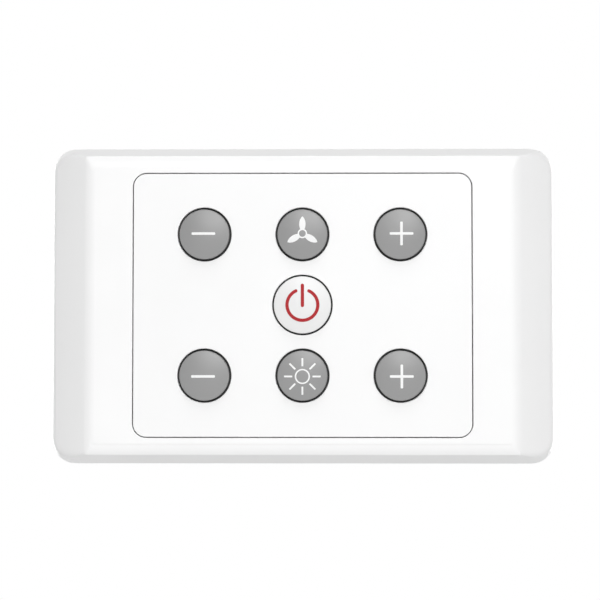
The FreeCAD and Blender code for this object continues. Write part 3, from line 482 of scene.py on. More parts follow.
def circuitLaminate(name, s):
    # green solder mask over copper tracks, with bare tinned dots along a grid
    material, tree, shader, coords = startFinish(name, s["maskRoughness"])
    flat = put(tree, "ShaderNodeMapping", {"Vector": coords, "Rotation": (math.pi / 2, 0.0, 0.0)})
    bricks = put(tree, "ShaderNodeTexBrick", {
        "Vector": flat, "Scale": s["trackScale"], "Mortar Size": s["trackGap"],
        "Brick Width": s["trackLength"], "Row Height": s["trackPitch"]}, "Fac")
    dots = put(tree, "ShaderNodeTexVoronoi", {
        "Vector": flat, "Scale": s["dotScale"], "Randomness": 0.0}, "Distance", voronoi_dimensions="2D")
    isDot = calc(tree, "LESS_THAN", dots, s["dotRadius"])
    sparse = calc(tree, "GREATER_THAN", noise(tree, coords, s["scatterScale"], 1.0), s["scatter"])
    tinned = calc(tree, "MULTIPLY", isDot, sparse)
    body = mixed(tree, bricks, fromScreen(s["mask"]), fromScreen(s["track"]))
    weave = ranged(tree, noise(tree, coords, s["weaveScale"], 3.0), 0.0, s["weaveShare"])
    mottled = mixed(tree, weave, body, s["weave"])
    polish = ranged(tree, tinned, s["maskRoughness"], s["tinRoughness"], 0.0, 1.0)
    linked(tree, shader, mixed(tree, tinned, mottled, fromScreen(s["tin"])), polish,
           calc(tree, "ADD", bricks, tinned), s["relief"], s["reliefDepth"])
    return material


winding = {
    "darkCore": (52, 46, 42), "lightCore": (78, 66, 56), "copper": (140, 84, 48), "copperShare": 0.45,
    "turnScale": 900.0, "waver": 0.4, "patchScale": 260.0, "gloss": 0.3, "dull": 0.5,
    "relief": 0.4, "reliefDepth": 0.00005,
}


def woundCoil(name, s):
    # varnished turns of wire round a dark core
    material, tree, shader, coords = startFinish(name, s["gloss"])
    turns = put(tree, "ShaderNodeTexWave", {
        "Vector": coords, "Scale": s["turnScale"], "Distortion": s["waver"], "Detail": 2.0}, "Fac",
        bands_direction="Z")
    patches = ranged(tree, noise(tree, coords, s["patchScale"], 3.0), 0.0, 1.0)
    core = mixed(tree, patches, fromScreen(s["darkCore"]), fromScreen(s["lightCore"]))
    wire = ranged(tree, turns, 0.0, s["copperShare"], 0.2, 0.8)
    polish = ranged(tree, turns, s["gloss"], s["dull"], 0.0, 1.0)
    linked(tree, shader, mixed(tree, wire, core, fromScreen(s["copper"])), polish, turns,
           s["relief"], s["reliefDepth"])
    return material


# colour on a screen, roughness, spread of tone, then the grain's scale, strength and depth
coverWhite = mouldedPlastic("coverWhite", (243, 243, 243), 0.34, 0.01, 1100.0, 0.05, 0.00001, gleam=0.42)
panelWhite = mouldedPlastic("panelWhite", (242, 242, 242), 0.34, 0.008, 1100.0, 0.05, 0.00001, gleam=0.42)
capGrey = mouldedPlastic("capGrey", (140, 140, 140), 0.35, 0.02, 2600.0, 0.15, 0.00001, gleam=0.46)
capWhite = mouldedPlastic("capWhite", (225, 225, 225), 0.38, 0.01, 2600.0, 0.15, 0.00001, gleam=0.62)
legendWhite = mouldedPlastic("legendWhite", (241, 241, 241), 0.5, 0.008, 3000.0, 0.2, 0.00001, gleam=0.3)
legendRed = mouldedPlastic("legendRed", (172, 44, 49), 0.5, 0.03, 3000.0, 0.2, 0.00001, gleam=0.12)
switchBlack = mouldedPlastic("switchBlack", (40, 40, 42), 0.5, 0.06, 2200.0, 0.3, 0.00003)
# the plungers' own black, which also colours the button carriers as painted shade in the gaps round the caps
plungerBlackAndGapShade = mouldedPlastic("plungerBlackAndGapShade", (34, 34, 35), 0.5, 0.05, 2200.0, 0.2, 0.00002)
chipBlack = mouldedPlastic("chipBlack", (30, 30, 31), 0.55, 0.08, 3200.0, 0.5, 0.00003)
plateWhite = mouldedPlastic("plateWhite", (236, 236, 233), 0.5, 0.02, 900.0, 0.35, 0.00004)
housingWhite = mouldedPlastic("housingWhite", (233, 233, 230), 0.55, 0.025, 800.0, 0.45, 0.00005)
relayBlue = mouldedPlastic("relayBlue", (48, 88, 168), 0.38, 0.04, 1800.0, 0.2, 0.00002)
capacitorYellow = mouldedPlastic("capacitorYellow", (206, 164, 60), 0.42, 0.05, 1200.0, 0.3, 0.00004)
capacitorSleeve = mouldedPlastic("capacitorSleeve", (38, 40, 58), 0.35, 0.06, 700.0, 0.15, 0.00003)
terminalGreen = mouldedPlastic("terminalGreen", (46, 140, 84), 0.45, 0.04, 1400.0, 0.3, 0.00003)
screwSteel = platedMetal("screwSteel", (190, 190, 194), 0.34, (1.0, 1.0, 6.0))
clampBrass = platedMetal("clampBrass", (212, 178, 104), 0.34, (6.0, 1.0, 1.0))
boardGreen = circuitLaminate("boardGreen", laminate)
transformerDark = woundCoil("transformerDark", winding)
print("finishes ready")


# surround: one closed shell lofted through rounded rectangles, with ribs and clips behind

surround = {
    "width": 117.0, "height": 73.6, "depth": 10.0,
    "corner": 5.2, "cornerSteps": 32, "cornerSamples": 60, "cornerReach": 2.0, "cornerPasses": 8,
    "rimHeight": 2.5, "rimDraft": 0.2, "rimBlend": 0.9,
    "bevelRun": 9.1, "bevelBow": 0.22, "bowBlend": 120.0, "bevelBlend": 4.6, "flatRun": 5.0, "blendSteps": 7,
    "edgeDraft": 2.4, "edgeBlend": 0.4, "slopeRun": 2.7, "slopeDrop": 0.78, "slopeStart": 0.02,
    "slopeSteps": 6, "stepRun": 0.3, "stepDrop": 0.12,
    "closeRings": 16, "closeGap": 0.25, "openRings": (4.6, 5.2, 5.9, 6.7, 7.5),
    "openingWidth": 78.16, "openingHeight": 60.86, "openingCorner": 3.28,
    "openingEdge": 0.16, "openingSteps": 4,
    "coverWall": 2.0, "edgeWall": 1.7, "lipWall": 1.2, "lipDepth": 5.0, "lipChamfer": 0.2, "lipLedge": 0.06,
    "innerRings": (6.0, 4.0), "innerCorner": 3.0, "footCorner": 3.1, "footChamfer": 0.15,
}


def blended(corners, radii, steps):
    # a polyline from corners (half width, forward), its inner corners rounded to the given radii
    line = [corners[0]]
    for k in range(1, len(corners) - 1):
        corner = Vector(corners[k])
        before = (Vector(corners[k - 1]) - corner).normalized()
        after = (Vector(corners[k + 1]) - corner).normalized()
        half = before.angle(after) / 2
        tangent = radii[k - 1] / math.tan(half)
        centre = corner + (before + after).normalized() * radii[k - 1] / math.sin(half)
        start = corner + before * tangent - centre
        end = corner + after * tangent - centre
        sweep = start.angle(end)
        for step in range(steps + 1):
            share = step / steps
            spoke = (start * math.sin((1 - share) * sweep) + end * math.sin(share * sweep)) / math.sin(sweep)
            line.append(tuple(centre + spoke))
    line.append(corners[-1])
    return line


def widthAt(line, forward):
    # the half width of a polyline that narrows towards the front
    for (lowWidth, low), (highWidth, high) in zip(line, line[1:]):
        if forward <= high + tiny:
            return lowWidth + (highWidth - lowWidth) * (forward - low) / max(high - low, tiny)
    return line[-1][0]


def softLeast(first, second, blend):
    # the lesser of two lengths, with a rounded change from one to the other
    share = max(blend - abs(first - second), 0.0) / blend
    return min(first, second) - share * share * blend / 4


def outerRing(forward, wallX, wallZ, bevelX, s):
    # a rectangle with rounded corners whose ends are cut off by the bevels, its corner points evenly spread
    radius = s["corner"]
    centreX = wallX - radius
    centreZ = wallZ - radius
    reach = s["cornerReach"]
    line = [(softLeast(wallX, bevelX, s["rimBlend"]), centreZ - reach)]
    line += [(softLeast(centreX + radius * cosine, bevelX, s["rimBlend"]), centreZ + radius * sine)
             for sine, cosine in quarterTurn(s["cornerSamples"])]
    line.append((min(centreX, bevelX) - reach, wallZ))
    line = [Vector(point) for point in line]
    total = sum((after - before).length for before, after in zip(line, line[1:]))
    steps = s["cornerSteps"]
    quarter = []
    for k in range(steps + 1):
        left = total * k / steps
        for before, after in zip(line, line[1:]):
            length = (after - before).length
            if left <= length + tiny:
                break
            left -= length
        quarter.append(before.lerp(after, min(1.0, left / max(length, tiny))))
    # each pass evens out what is left of the kinks
    for smoothing in range(s["cornerPasses"]):
        quarter = [quarter[0]] + [(before + here * 2 + after) / 4 for before, here, after in
                                  zip(quarter, quarter[1:], quarter[2:])] + [quarter[-1]]
    return mirrored(quarter, forward)


def endProfile(s):
    # half the width that the bevels leave at each height: a bowed line, then a soft crease to the flat front
    depth = s["depth"]
    rim = s["width"] / 2 - s["rimDraft"]
    top = rim - s["bevelRun"]
    foot = rim + s["rimHeight"] * s["bevelRun"] / (depth - s["rimHeight"])
    lean = math.atan2(depth, foot - top)
    bow = s["bevelBow"]
    crown = ((foot + top) / 2 + bow * math.sin(lean), depth / 2 + bow * math.cos(lean))
    corners = [(foot, 0.0), crown, (top, depth), (top - s["flatRun"], depth)]
    return blended(corners, [s["bowBlend"], s["bevelBlend"]], s["blendSteps"])[:-1]


def edgeProfile(s):
    # half the height likewise: a steep edge, a slope that swells towards its crease, and a faint step
    depth = s["depth"]
    halfHeight = s["height"] / 2
    slopeTop = halfHeight - s["edgeDraft"] - s["slopeRun"]
    run = s["slopeRun"] - s["stepRun"]
    steps = s["slopeSteps"]
    swell = (s["slopeDrop"] - s["stepDrop"] - s["slopeStart"] * run) / run ** 2
    bent = [(slopeTop + s["stepRun"] + out, depth - s["stepDrop"] - s["slopeStart"] * out - swell * out ** 2)
            for out in (run * k / steps for k in range(steps, -1, -1))]
    steep = blended([(halfHeight, 0.0)] + bent[:2], [s["edgeBlend"]], s["blendSteps"])[:-1]
    return steep + bent[1:] + [(slopeTop, depth)]


def outerRings(s):
    # every height at which one of the two profiles bends gets a ring, and long stretches get more
    ends = endProfile(s)
    edges = edgeProfile(s)
    levels = {round(point[1], 4) for point in ends + edges} | set(s["openRings"])
    levels |= {s["closeGap"] * k for k in range(1, s["closeRings"] + 1)}
    return [outerRing(level, s["width"] / 2 - s["rimDraft"] * level / s["rimHeight"], widthAt(edges, level),
                      widthAt(ends, level), s) for level in sorted(levels)]


def openingRings(s):
    # over the front, round the opening's edge, down its wall and back round the lip
    openX = s["openingWidth"] / 2
    openZ = s["openingHeight"] / 2
    edge = s["openingEdge"]
    path = [(s["depth"] - edge * (1 - cosine), edge * (1 - sine))
            for sine, cosine in quarterTurn(s["openingSteps"])]
    under = s["depth"] - s["coverWall"]
    lipBack = s["depth"] - s["coverWall"] / 2 - s["lipDepth"]
    lip = s["lipWall"]
    chamfer = s["lipChamfer"]
    path += [(lipBack + chamfer, 0.0), (lipBack, chamfer), (lipBack, lip - chamfer), (lipBack + chamfer, lip),
             (under, lip)]
    return [roundedRing(level, openX + out, openZ + out, s["openingCorner"] + out, s["cornerSteps"])
            for level, out in path]


def innerEndLine(s):
    # half the width inside, one wall further in than the draft and the bevel
    wall = s["coverWall"]
    halfWidth = s["width"] / 2
    bevel = math.atan((s["depth"] - s["rimHeight"]) / s["bevelRun"])
    top = halfWidth - s["rimDraft"] - s["bevelRun"] - wall * math.tan(bevel / 2)
    foot = s["rimHeight"] - wall * math.tan(math.pi / 4 - bevel / 2)
    return [(halfWidth - wall, 0.0), (halfWidth - wall, foot), (top, s["depth"] - wall)]


def innerRings(s):
    # the inner faces, down to the rim
    ends = innerEndLine(s)
    halfHeight = s["height"] / 2 - s["edgeWall"]
    under = s["depth"] - s["coverWall"]
    crease = s["depth"] - s["slopeDrop"] - s["edgeWall"] / 2
    edges = [(halfHeight, 0.0), (halfHeight - s["edgeDraft"], crease),
             (s["openingHeight"] / 2 + s["lipWall"] + s["lipLedge"], under)]
    chamfer = s["footChamfer"]
    steps = s["cornerSteps"]
    rings = [roundedRing(level, widthAt(ends, level), widthAt(edges, level), s["innerCorner"], steps)
             for level in (under, crease) + s["innerRings"] + (ends[1][1], chamfer)]
    return rings + [roundedRing(0.0, ends[0][0] + chamfer, halfHeight + chamfer, s["footCorner"], steps)]


shell = loftedRings(outerRings(surround) + openingRings(surround) + innerRings(surround))
shell = shaded(tidied(shell))

rib = {
    "spacing": 24.0, "thickness": 1.2, "foot": 2.0, "edge": 0.12,
    "lipOverlap": 0.4, "endOverlap": 0.3, "topOverlap": 0.2,
}


def ribMesh(s, r):
    # a web from the lip to the wall behind each bevel
    inner = s["openingWidth"] / 2 + s["lipWall"] - r["lipOverlap"]
    ends = innerEndLine(s)
    top = s["depth"] - s["coverWall"] + r["topOverlap"]
    corners = [(inner, r["foot"]), (widthAt(ends, r["foot"]) + r["endOverlap"], r["foot"]),
               (ends[-1][0] + r["topOverlap"], top), (inner, top)]
    half = r["thickness"] / 2
    return softened(extrudedProfile(corners, "Z", -half, half), r["edge"])


clip = {"spacing": 52.0, "width": 8.0, "barb": 0.8, "barbHeight": 0.8, "lift": 0.2, "root": 1.4, "edge": 0.1}


def clipMesh(s, c):
    # an arm down from the lip, with a barb that hooks behind the mounting plate
    inner = s["openingHeight"] / 2
    outer = inner + s["lipWall"]
    root = s["depth"] - c["root"]
    barbTop = c["lift"] + c["barbHeight"]
    corners = [(inner, root), (inner, barbTop), (inner - c["barb"], barbTop),
               (inner - c["barb"], c["lift"] + c["barbHeight"] / 2), (inner, c["lift"]),
               (outer, c["lift"]), (outer, root)]
    half = c["width"] / 2
    return softened(extrudedProfile(corners, "X", -half, half), c["edge"])


ribs = grown(ribMesh(surround, rib), cornerTree, {
    "Across": 0.0, "Up": rib["spacing"], "Turn Left": 1.0, "Material": coverWhite})
clips = grown(clipMesh(surround, clip), cornerTree, {
    "Across": clip["spacing"], "Up": 0.0, "Turn Low": 1.0, "Material": coverWhite})
finished("surround", joined(shell, ribs, clips), "base", coverWhite, ["surround_cover"])
print("surround ready")


# front panel: a flat plate with rounded edges and seven holes, and the solid's own back

panel = {
    "width": 77.7, "height": 60.4, "corner": 3.0, "cornerSteps": 16, "thickness": 1.8, "front": 10.0,
    "edge": 0.14, "edgeSteps": 3, "backOverlap": 0.05, "backSharpAngle": 40.0,
    "pitchAcross": 22.5, "pitchUp": 16.2, "hole": 12.4, "powerHole": 13.9, "holeSteps": 112,
}


def buttonPlaces(p):
    # the middle of each button and the diameter of its hole
    across = p["pitchAcross"]
    up = p["pitchUp"]
    small = p["hole"]
    return {
        "fan_down": (-across, up, small), "fan": (0.0, up, small), "fan_up": (across, up, small),
        "power": (0.0, 0.0, p["powerHole"]),
        "light_down": (-across, -up, small), "light": (0.0, -up, small), "light_up": (across, -up, small),
    }


places = buttonPlaces(panel)


def addClosedSpline(curve, points):
    spline = curve.splines.new("POLY")
    spline.points.add(len(points) - 1)
    for point, (x, y) in zip(spline.points, points):
        point.co = (x, y, 0.0, 1.0)
    spline.use_cyclic_u = True


def plateWithHoles(p):
    # a flat curve, filled between its outline and its holes, with a small round on every edge
    curve = bpy.data.curves.new("panelOutline", "CURVE")
    curve.dimensions = "2D"
    curve.fill_mode = "BOTH"
    edge = p["edge"]
    outline = roundedRing(
        0.0, p["width"] / 2 - edge, p["height"] / 2 - edge, p["corner"] - edge, p["cornerSteps"])
    addClosedSpline(curve, [(point[0], point[2]) for point in outline])
    angles = [2 * math.pi * k / p["holeSteps"] for k in range(p["holeSteps"])]
    for across, up, diameter in places.values():
        radius = diameter / 2 + edge
        addClosedSpline(curve, [(across + radius * math.cos(angle), up + radius * math.sin(angle))
                                for angle in angles])
    curve.extrude = p["thickness"] / 2 - edge
    curve.bevel_depth = edge
    curve.bevel_resolution = p["edgeSteps"]
    mesh = settled(workerFor(curve))
    mesh.transform(Matrix.Rotation(math.pi / 2, 4, "X"))
    mesh.transform(Matrix.Translation((0.0, -p["front"] + p["thickness"] / 2, 0.0)))
    return shaded(tidied(mesh))


def behind(mesh, depth):
    # the part of a solid that lies behind a plane, closed where it was cut
    work = bmesh.new()
    work.from_mesh(mesh)
    everything = list(work.verts) + list(work.edges) + list(work.faces)
    cut = bmesh.ops.bisect_plane(work, geom=everything, plane_co=(0.0, depth, 0.0), plane_no=(0.0, 1.0, 0.0),
                                 clear_inner=True)
    rim = [item for item in cut["geom_cut"] if isinstance(item, bmesh.types.BMEdge)]
    bmesh.ops.triangle_fill(work, edges=rim, use_beauty=True)
    bmesh.ops.recalc_face_normals(work, faces=work.faces)
    work.to_mesh(mesh)
    work.free()
    return mesh


panelBack = behind(nodeMesh("front_panel"), -panel["front"] + panel["thickness"] - panel["backOverlap"])
panelBack = shaded(panelBack, panel["backSharpAngle"])
finished("frontPanel", joined(plateWithHoles(panel), panelBack), "base", panelWhite,
         ["front_panel"])
print("front panel ready")


# buttons: domed caps spun from one profile, each on a carrier whose dark colour is painted shade for the gap
# round the cap, and with its symbol draped over the dome

cap = {
    "front": 10.0, "gap": 0.48, "powerGap": 0.4, "proud": 0.7, "dome": 0.5, "rim": 0.22, "back": 0.35,
    "backChamfer": 0.05, "domeSteps": 15, "rimSteps": 7, "segments": 128,
    "carrierInset": 0.06, "carrierOverlap": 0.1, "carrierSegments": 64,
    "flangeFront": 1.88, "flangeThickness": 1.0, "flangeLap": 0.75, "flangeTrim": 2.0, "flangeEdge": 0.1,
    "legendLift": 0.02, "legendDepth": 0.3,
}


def capReach(c, diameter):
    # the radius of the cap in a hole of this diameter
    return diameter / 2 - (c["powerGap"] if diameter > panel["hole"] else c["gap"])


def domeRadius(c, diameter):
    # the radius of the sphere that the cap's face is a part of
    reach = capReach(c, diameter)
    return (reach ** 2 + c["dome"] ** 2) / (2 * c["dome"])


def capProfile(c, diameter):
    # (radius, depth, 0) from the middle of the dome to the middle of the back
    reach = capReach(c, diameter)
    radius = domeRadius(c, diameter)
    apex = c["proud"] + c["dome"]
    rim = c["rim"]
    rimHeight = apex - radius + math.sqrt((radius - rim) ** 2 - (reach - rim) ** 2)
    meets = math.asin((reach - rim) / (radius - rim))
    angles = [meets * k / c["domeSteps"] for k in range(c["domeSteps"])]
    points = [(radius * math.sin(angle), -(apex - radius + radius * math.cos(angle))) for angle in angles]
    angles = [meets + (math.pi / 2 - meets) * k / c["rimSteps"] for k in range(c["rimSteps"] + 1)]
    points += [(reach - rim + rim * math.sin(angle), -(rimHeight + rim * math.cos(angle)))
               for angle in angles]
    back = c["back"]
    chamfer = c["backChamfer"]
    return points + [(reach, back - chamfer), (reach - chamfer, back), (0.0, back)]


def gapShadeCarrierProfile(c, diameter):
    # the shank between the cap and its flange, dark as painted shade in the gap round the cap
    reach = capReach(c, diameter) - c["carrierInset"]
    front = c["back"] - c["carrierOverlap"]
    back = c["flangeFront"] + c["flangeThickness"] / 2
    return [(0.0, front), (reach, front), (reach, back), (0.0, back)]


def capFlange(c, diameter):
    # a square with trimmed corners, which stays behind the panel
    half = diameter / 2 + c["flangeLap"]
    trim = half - c["flangeTrim"]
    corners = []
    for turn in range(4):
        angle = turn * math.pi / 2
        for x, z in ((half, -trim), (half, trim)):
            corners.append((x * math.cos(angle) - z * math.sin(angle),
                            x * math.sin(angle) + z * math.cos(angle)))
    front = c["flangeFront"]
    back = front + c["flangeThickness"]
    flange = prism([(x, front, z) for x, z in corners], [(x, back, z) for x, z in corners])
    return softened(flange, c["flangeEdge"])


# spread sets each sign outwards by that share of its button's distance from the middle
symbol = {
    "spread": 0.01, "armSink": 0.006, "pointWidth": 0.01, "roundSteps": 6, "weld": 0.0002,
    "barLength": 5.46, "barWidth": 0.6, "barRound": 0.2, "barSteps": 8, "middleSteps": 2,
    "blades": 3, "bladeMiddle": 2.15, "bladeReach": 1.8, "bladeWidth": 1.46, "bladeTaper": 0.75,
    "bladeFrom": 0.9, "bladeSteps": 24, "hubOuter": 1.1, "hubInner": 0.77, "hubSteps": 48,
    "sunOuter": 1.74, "sunInner": 1.4, "sunSteps": 64,
    "rays": 8, "rayInner": 2.3, "rayOuter": 4.2, "rayWidth": 0.42, "rayRound": 0.12, "raySteps": 6,
    "arcRadius": 3.53, "stroke": 0.75, "gapAngle": 25.0, "arcSteps": 96, "arcTip": 0.04,
    "strokeTop": 4.88, "strokeBottom": -0.52, "strokeSteps": 16,
}


def addSlab(shape, rows, isArm=False, closed=False):
    # a thin slab over rows of points (x, z), flat for now: the tree drapes it on the dome
    start = len(shape["points"])
    sink = symbol["armSink"] if isArm else 0.0
    width = len(rows[0])
    for row in rows:
        shape["points"] += [(x, sink, z) for x, z in row]
    for row in rows:
        shape["points"] += [(x, cap["legendDepth"], z) for x, z in row]
    shape["arms"] += [1.0 if isArm else 0.0] * (2 * width * len(rows))
    under = len(rows) * width
    count = len(rows) if closed else len(rows) - 1
    for r in range(count):
        here = start + r * width
        there = start + (r + 1) % len(rows) * width
        for k in range(width - 1):
            top = (here + k, there + k, there + k + 1, here + k + 1)
            shape["faces"] += [top, tuple(point + under for point in reversed(top))]
        for k in (0, width - 1):
            shape["faces"].append((here + k, here + k + under, there + k + under, there + k))
    if not closed:
        for row in (start, start + (len(rows) - 1) * width):
            shape["faces"] += [(row + k, row + k + 1, row + k + 1 + under, row + k + under)
                               for k in range(width - 1)]


def barRows(low, high, width, steps, lowRound=0.0, highRound=0.0):
    # a bar up from low to high, the corners of either end rounded
    levels = {low: width / 2 - lowRound, high: width / 2 - highRound}
    for k in range(1, steps):
        levels[low + lowRound + (high - highRound - low - lowRound) * k / steps] = width / 2
    for turn, end, towards in ((lowRound, low, 1), (highRound, high, -1)):
        for sine, cosine in quarterTurn(symbol["roundSteps"])[1:] if turn else ():
            levels[end + towards * turn * (1 - cosine)] = width / 2 - turn + turn * sine
    least = symbol["pointWidth"]
    return [[(side * max(half, least), level) for side in (-1, 0, 1)]
            for level, half in sorted(levels.items())]


def arcRows(radius, stroke, start, end, steps, tip=None):
    # a stroke along a circle; with a tip, the share of its width there, its ends are rounded
    half = stroke / 2

    def row(angle, share=1.0):
        reaches = [radius + side * half * share for side in (-1, 0, 1)]
        return [(reach * math.sin(angle), reach * math.cos(angle)) for reach in reaches]
    ends = [(tip, math.sqrt(1 - tip ** 2))] + quarterTurn(symbol["roundSteps"])[1:-1] if tip else []
    rows = [row(start - half / radius * cosine, sine) for sine, cosine in ends]
    rows += [row(start + (end - start) * k / steps) for k in range(steps + 1)]
    return rows + [row(end + half / radius * cosine, sine) for sine, cosine in reversed(ends)]


def ringRows(outer, inner, steps):
    # a whole ring, without the last row, which would lie on the first
    return arcRows((outer + inner) / 2, outer - inner, 0.0, 2 * math.pi, steps)[:-1]


def bladeRows(s):
    # a long blunt leaf from the hub to its tip
    tip = s["bladeMiddle"] + s["bladeReach"]
    rows = []
    for k in range(s["bladeSteps"] + 1):
        z = s["bladeFrom"] + (tip - s["bladeFrom"]) * math.sin(math.pi / 2 * k / s["bladeSteps"])
        share = (z - s["bladeMiddle"]) / s["bladeReach"]
        width = max(s["pointWidth"], s["bladeWidth"] / 2 * max(0.0, 1 - share ** 2) ** s["bladeTaper"])
        rows.append([(side * width, z) for side in (-1, -0.5, 0, 0.5, 1)])
    return rows


def symbolShape(kind):
    # the pieces of one symbol and how many times its arms are repeated
    s = symbol
    shape = {"points": [], "faces": [], "arms": []}
    if kind in ("minus", "plus"):
        half = s["barWidth"] / 2
        arm = barRows(half, s["barLength"] / 2, s["barWidth"], s["barSteps"], highRound=s["barRound"])
        addSlab(shape, barRows(-half, half, s["barWidth"], s["middleSteps"]))
        addSlab(shape, [[(z, x) for x, z in row] for row in arm], isArm=True)
        copies = 2 if kind == "minus" else 4
    elif kind == "fan":
        addSlab(shape, ringRows(s["hubOuter"], s["hubInner"], s["hubSteps"]), closed=True)
        addSlab(shape, bladeRows(s), isArm=True)
        copies = s["blades"]
    elif kind == "sun":
        end = s["rayRound"]
        ray = barRows(s["rayInner"], s["rayOuter"], s["rayWidth"], s["raySteps"], end, end)
        addSlab(shape, ringRows(s["sunOuter"], s["sunInner"], s["sunSteps"]), closed=True)
        addSlab(shape, ray, isArm=True)
        copies = s["rays"]
    else:
        gap = math.radians(s["gapAngle"])
        stroke = s["stroke"]
        end = stroke / 2
        addSlab(shape, arcRows(s["arcRadius"], stroke, gap, 2 * math.pi - gap, s["arcSteps"], s["arcTip"]))
        addSlab(shape, barRows(s["strokeBottom"], s["strokeTop"], stroke, s["strokeSteps"], end, end))
        copies = 1
    mesh = meshOf(shape["points"], shape["faces"])
    mesh.attributes.new("arm", "FLOAT", "POINT").data.foreach_set("value", shape["arms"])
    return mesh, copies


buttonKinds = {"fan_down": "minus", "fan": "fan", "fan_up": "plus", "power": "power",
               "light_down": "minus", "light": "sun", "light_up": "plus"}
for button, (across, up, diameter) in places.items():
    isPower = button == "power"
    capFinish, capSlot = (capWhite, "cap_white") if isPower else (capGrey, "cap_grey")
    legendFinish, legendSlot = (legendRed, "legend_red") if isPower else (legendWhite, "legend_white")
    bodyName = button + "_key"
    atButton = Matrix.Translation((across, -cap["front"], up))
    dome = shaded(spun(capProfile(cap, diameter), cap["segments"], capFinish))
    dome.transform(atButton)
    finished(button + "_cap", dome, bodyName, capFinish, [button + "_button"])
    # the carrier's dark colour is painted shade that darkens the gap round the cap
    shank = spun(gapShadeCarrierProfile(cap, diameter), cap["carrierSegments"], plungerBlackAndGapShade)
    carrier = joined(shaded(shank), capFlange(cap, diameter))
    carrier.transform(atButton)
    finished(button + "_gap_shade_carrier", carrier, bodyName, plungerBlackAndGapShade)
    flat, copies = symbolShape(buttonKinds[button])
    draped = grown(flat, legendTree, {
        "Copies": copies, "Aside": symbol["spread"] * across, "Lift": symbol["spread"] * up,
        "Apex": cap["proud"] + cap["dome"] + cap["legendLift"], "Dome Radius": domeRadius(cap, diameter),
        "Material": legendFinish})
    draped = shaded(tidied(draped, symbol["weld"]))
    draped.transform(atButton)
    finished(button + "_legend", draped, bodyName, legendFinish, [button + "_legend_inlay"])
print("buttons ready")


# mounting plate, rear housing and their screws

softEdges = {"mounting_plate": 0.22, "rear_housing": 0.3, "terminal_block": 0.12, "terminal_clamps": 0.06}


def softSolid(name, node, finish, segments=2):
    # a construction solid as it is, but for a small round on its edges
    finished(name, softened(nodeMesh(node), softEdges[node], segments), "base", finish, [node])


softSolid("mountingPlate", "mounting_plate", plateWhite)
softSolid("rearHousing", "rear_housing", housingWhite)

# headFlat is a share of the head's radius, and the ridge's places are shares of its pitch
housingScrew = {
    "across": 66.0, "up": 50.0, "seat": 2.0, "length": 9.0, "diameter": 2.6, "core": 2.0, "tip": 0.35,
    "headDiameter": 5.2, "headHeight": 1.8, "headRound": 0.8, "headFlat": 0.4, "headEdge": 0.06,
    "headSteps": 6, "plainLength": 0.5, "pitch": 0.9,
    "ridgeFrom": 0.3, "ridgeTop": 0.6, "ridgeEnd": 0.7, "lastRidge": 1.5,
    "crossReach": 1.5, "crossWidth": 0.62, "crossDepth": 1.1, "crossTaper": 0.55, "crossAbove": 0.5,
    "segments": 40, "sharpAngle": 38.0,
}


def screwProfile(s):
    # from the middle of the head's outside, over its rounded rim, and down the ridges to the tip
    head = s["headDiameter"] / 2
    top = s["headHeight"]
    turn = s["headRound"]
    points = [(0.0, top), (head * s["headFlat"], top)]
    points += [(head - turn + turn * sine, top - turn + turn * cosine)
               for sine, cosine in quarterTurn(s["headSteps"])]
    core = s["core"] / 2
    crest = s["diameter"] / 2
    points += [(head, s["headEdge"]), (head - s["headEdge"], 0.0), (crest, 0.0)]
    pitch = s["pitch"]
    depth = -s["plainLength"]
    while depth > -s["length"] + pitch * s["lastRidge"]:
        points += [(core, depth), (core, depth - s["ridgeFrom"] * pitch),
                   (crest, depth - s["ridgeTop"] * pitch), (crest, depth - s["ridgeEnd"] * pitch)]
        depth -= pitch
    return points + [(core, depth), (s["tip"], -s["length"]), (0.0, -s["length"])]


def without(mesh, tool):
    # cuts one closed shape out of another
    worker = workerFor(mesh)
    cutter = workerFor(tool)
    cut = worker.modifiers.new("recess", "BOOLEAN")
    cut.operation = "DIFFERENCE"
    cut.solver = "EXACT"
    cut.object = cutter
    result = settled(worker)
    bpy.data.objects.remove(cutter)
    return result


def crossTool(s):
    # a cross that narrows downwards, from above the head to the bottom of its recess
    reach = s["crossReach"]
    half = s["crossWidth"] / 2
    corners = [(reach, -half), (reach, half), (half, half), (half, reach), (-half, reach), (-half, half)]
    corners += [(-x, -z) for x, z in corners]
    top = s["headHeight"] + s["crossAbove"]
    deep = s["headHeight"] - s["crossDepth"]
    taper = s["crossTaper"]
    return prism([(x, top, z) for x, z in corners], [(x * taper, deep, z * taper) for x, z in corners])


blankScrew = spun(screwProfile(housingScrew), housingScrew["segments"], screwSteel)
oneScrew = shaded(without(blankScrew, crossTool(housingScrew)), housingScrew["sharpAngle"])
oneScrew.transform(Matrix.Translation((0.0, housingScrew["seat"], 0.0)))
screws = grown(oneScrew, cornerTree, {
    "Across": housingScrew["across"], "Up": housingScrew["up"], "Material": screwSteel})
finished("housingScrews", screws, "base", screwSteel, ["housing_screws"])
print("mounting plate, housing and screws ready")


# supply terminals: block, brass cages and slotted screws

terminals = {
    "count": 4, "pitch": 5.08, "row": -16.0, "back": 25.0, "sink": 0.6, "diameter": 2.5, "length": 4.2,
    "edge": 0.2, "headLength": 1.2, "tipInset": 0.3, "slotWidth": 0.6, "slotDepth": 0.8, "slotAbove": 0.5,
    "grooveDepth": 0.2, "grooveMiddle": 0.15, "grooveEnd": 0.3, "groovePitch": 0.45, "lastGroove": 0.6,
    "segments": 36, "sharpAngle": 38.0,
}


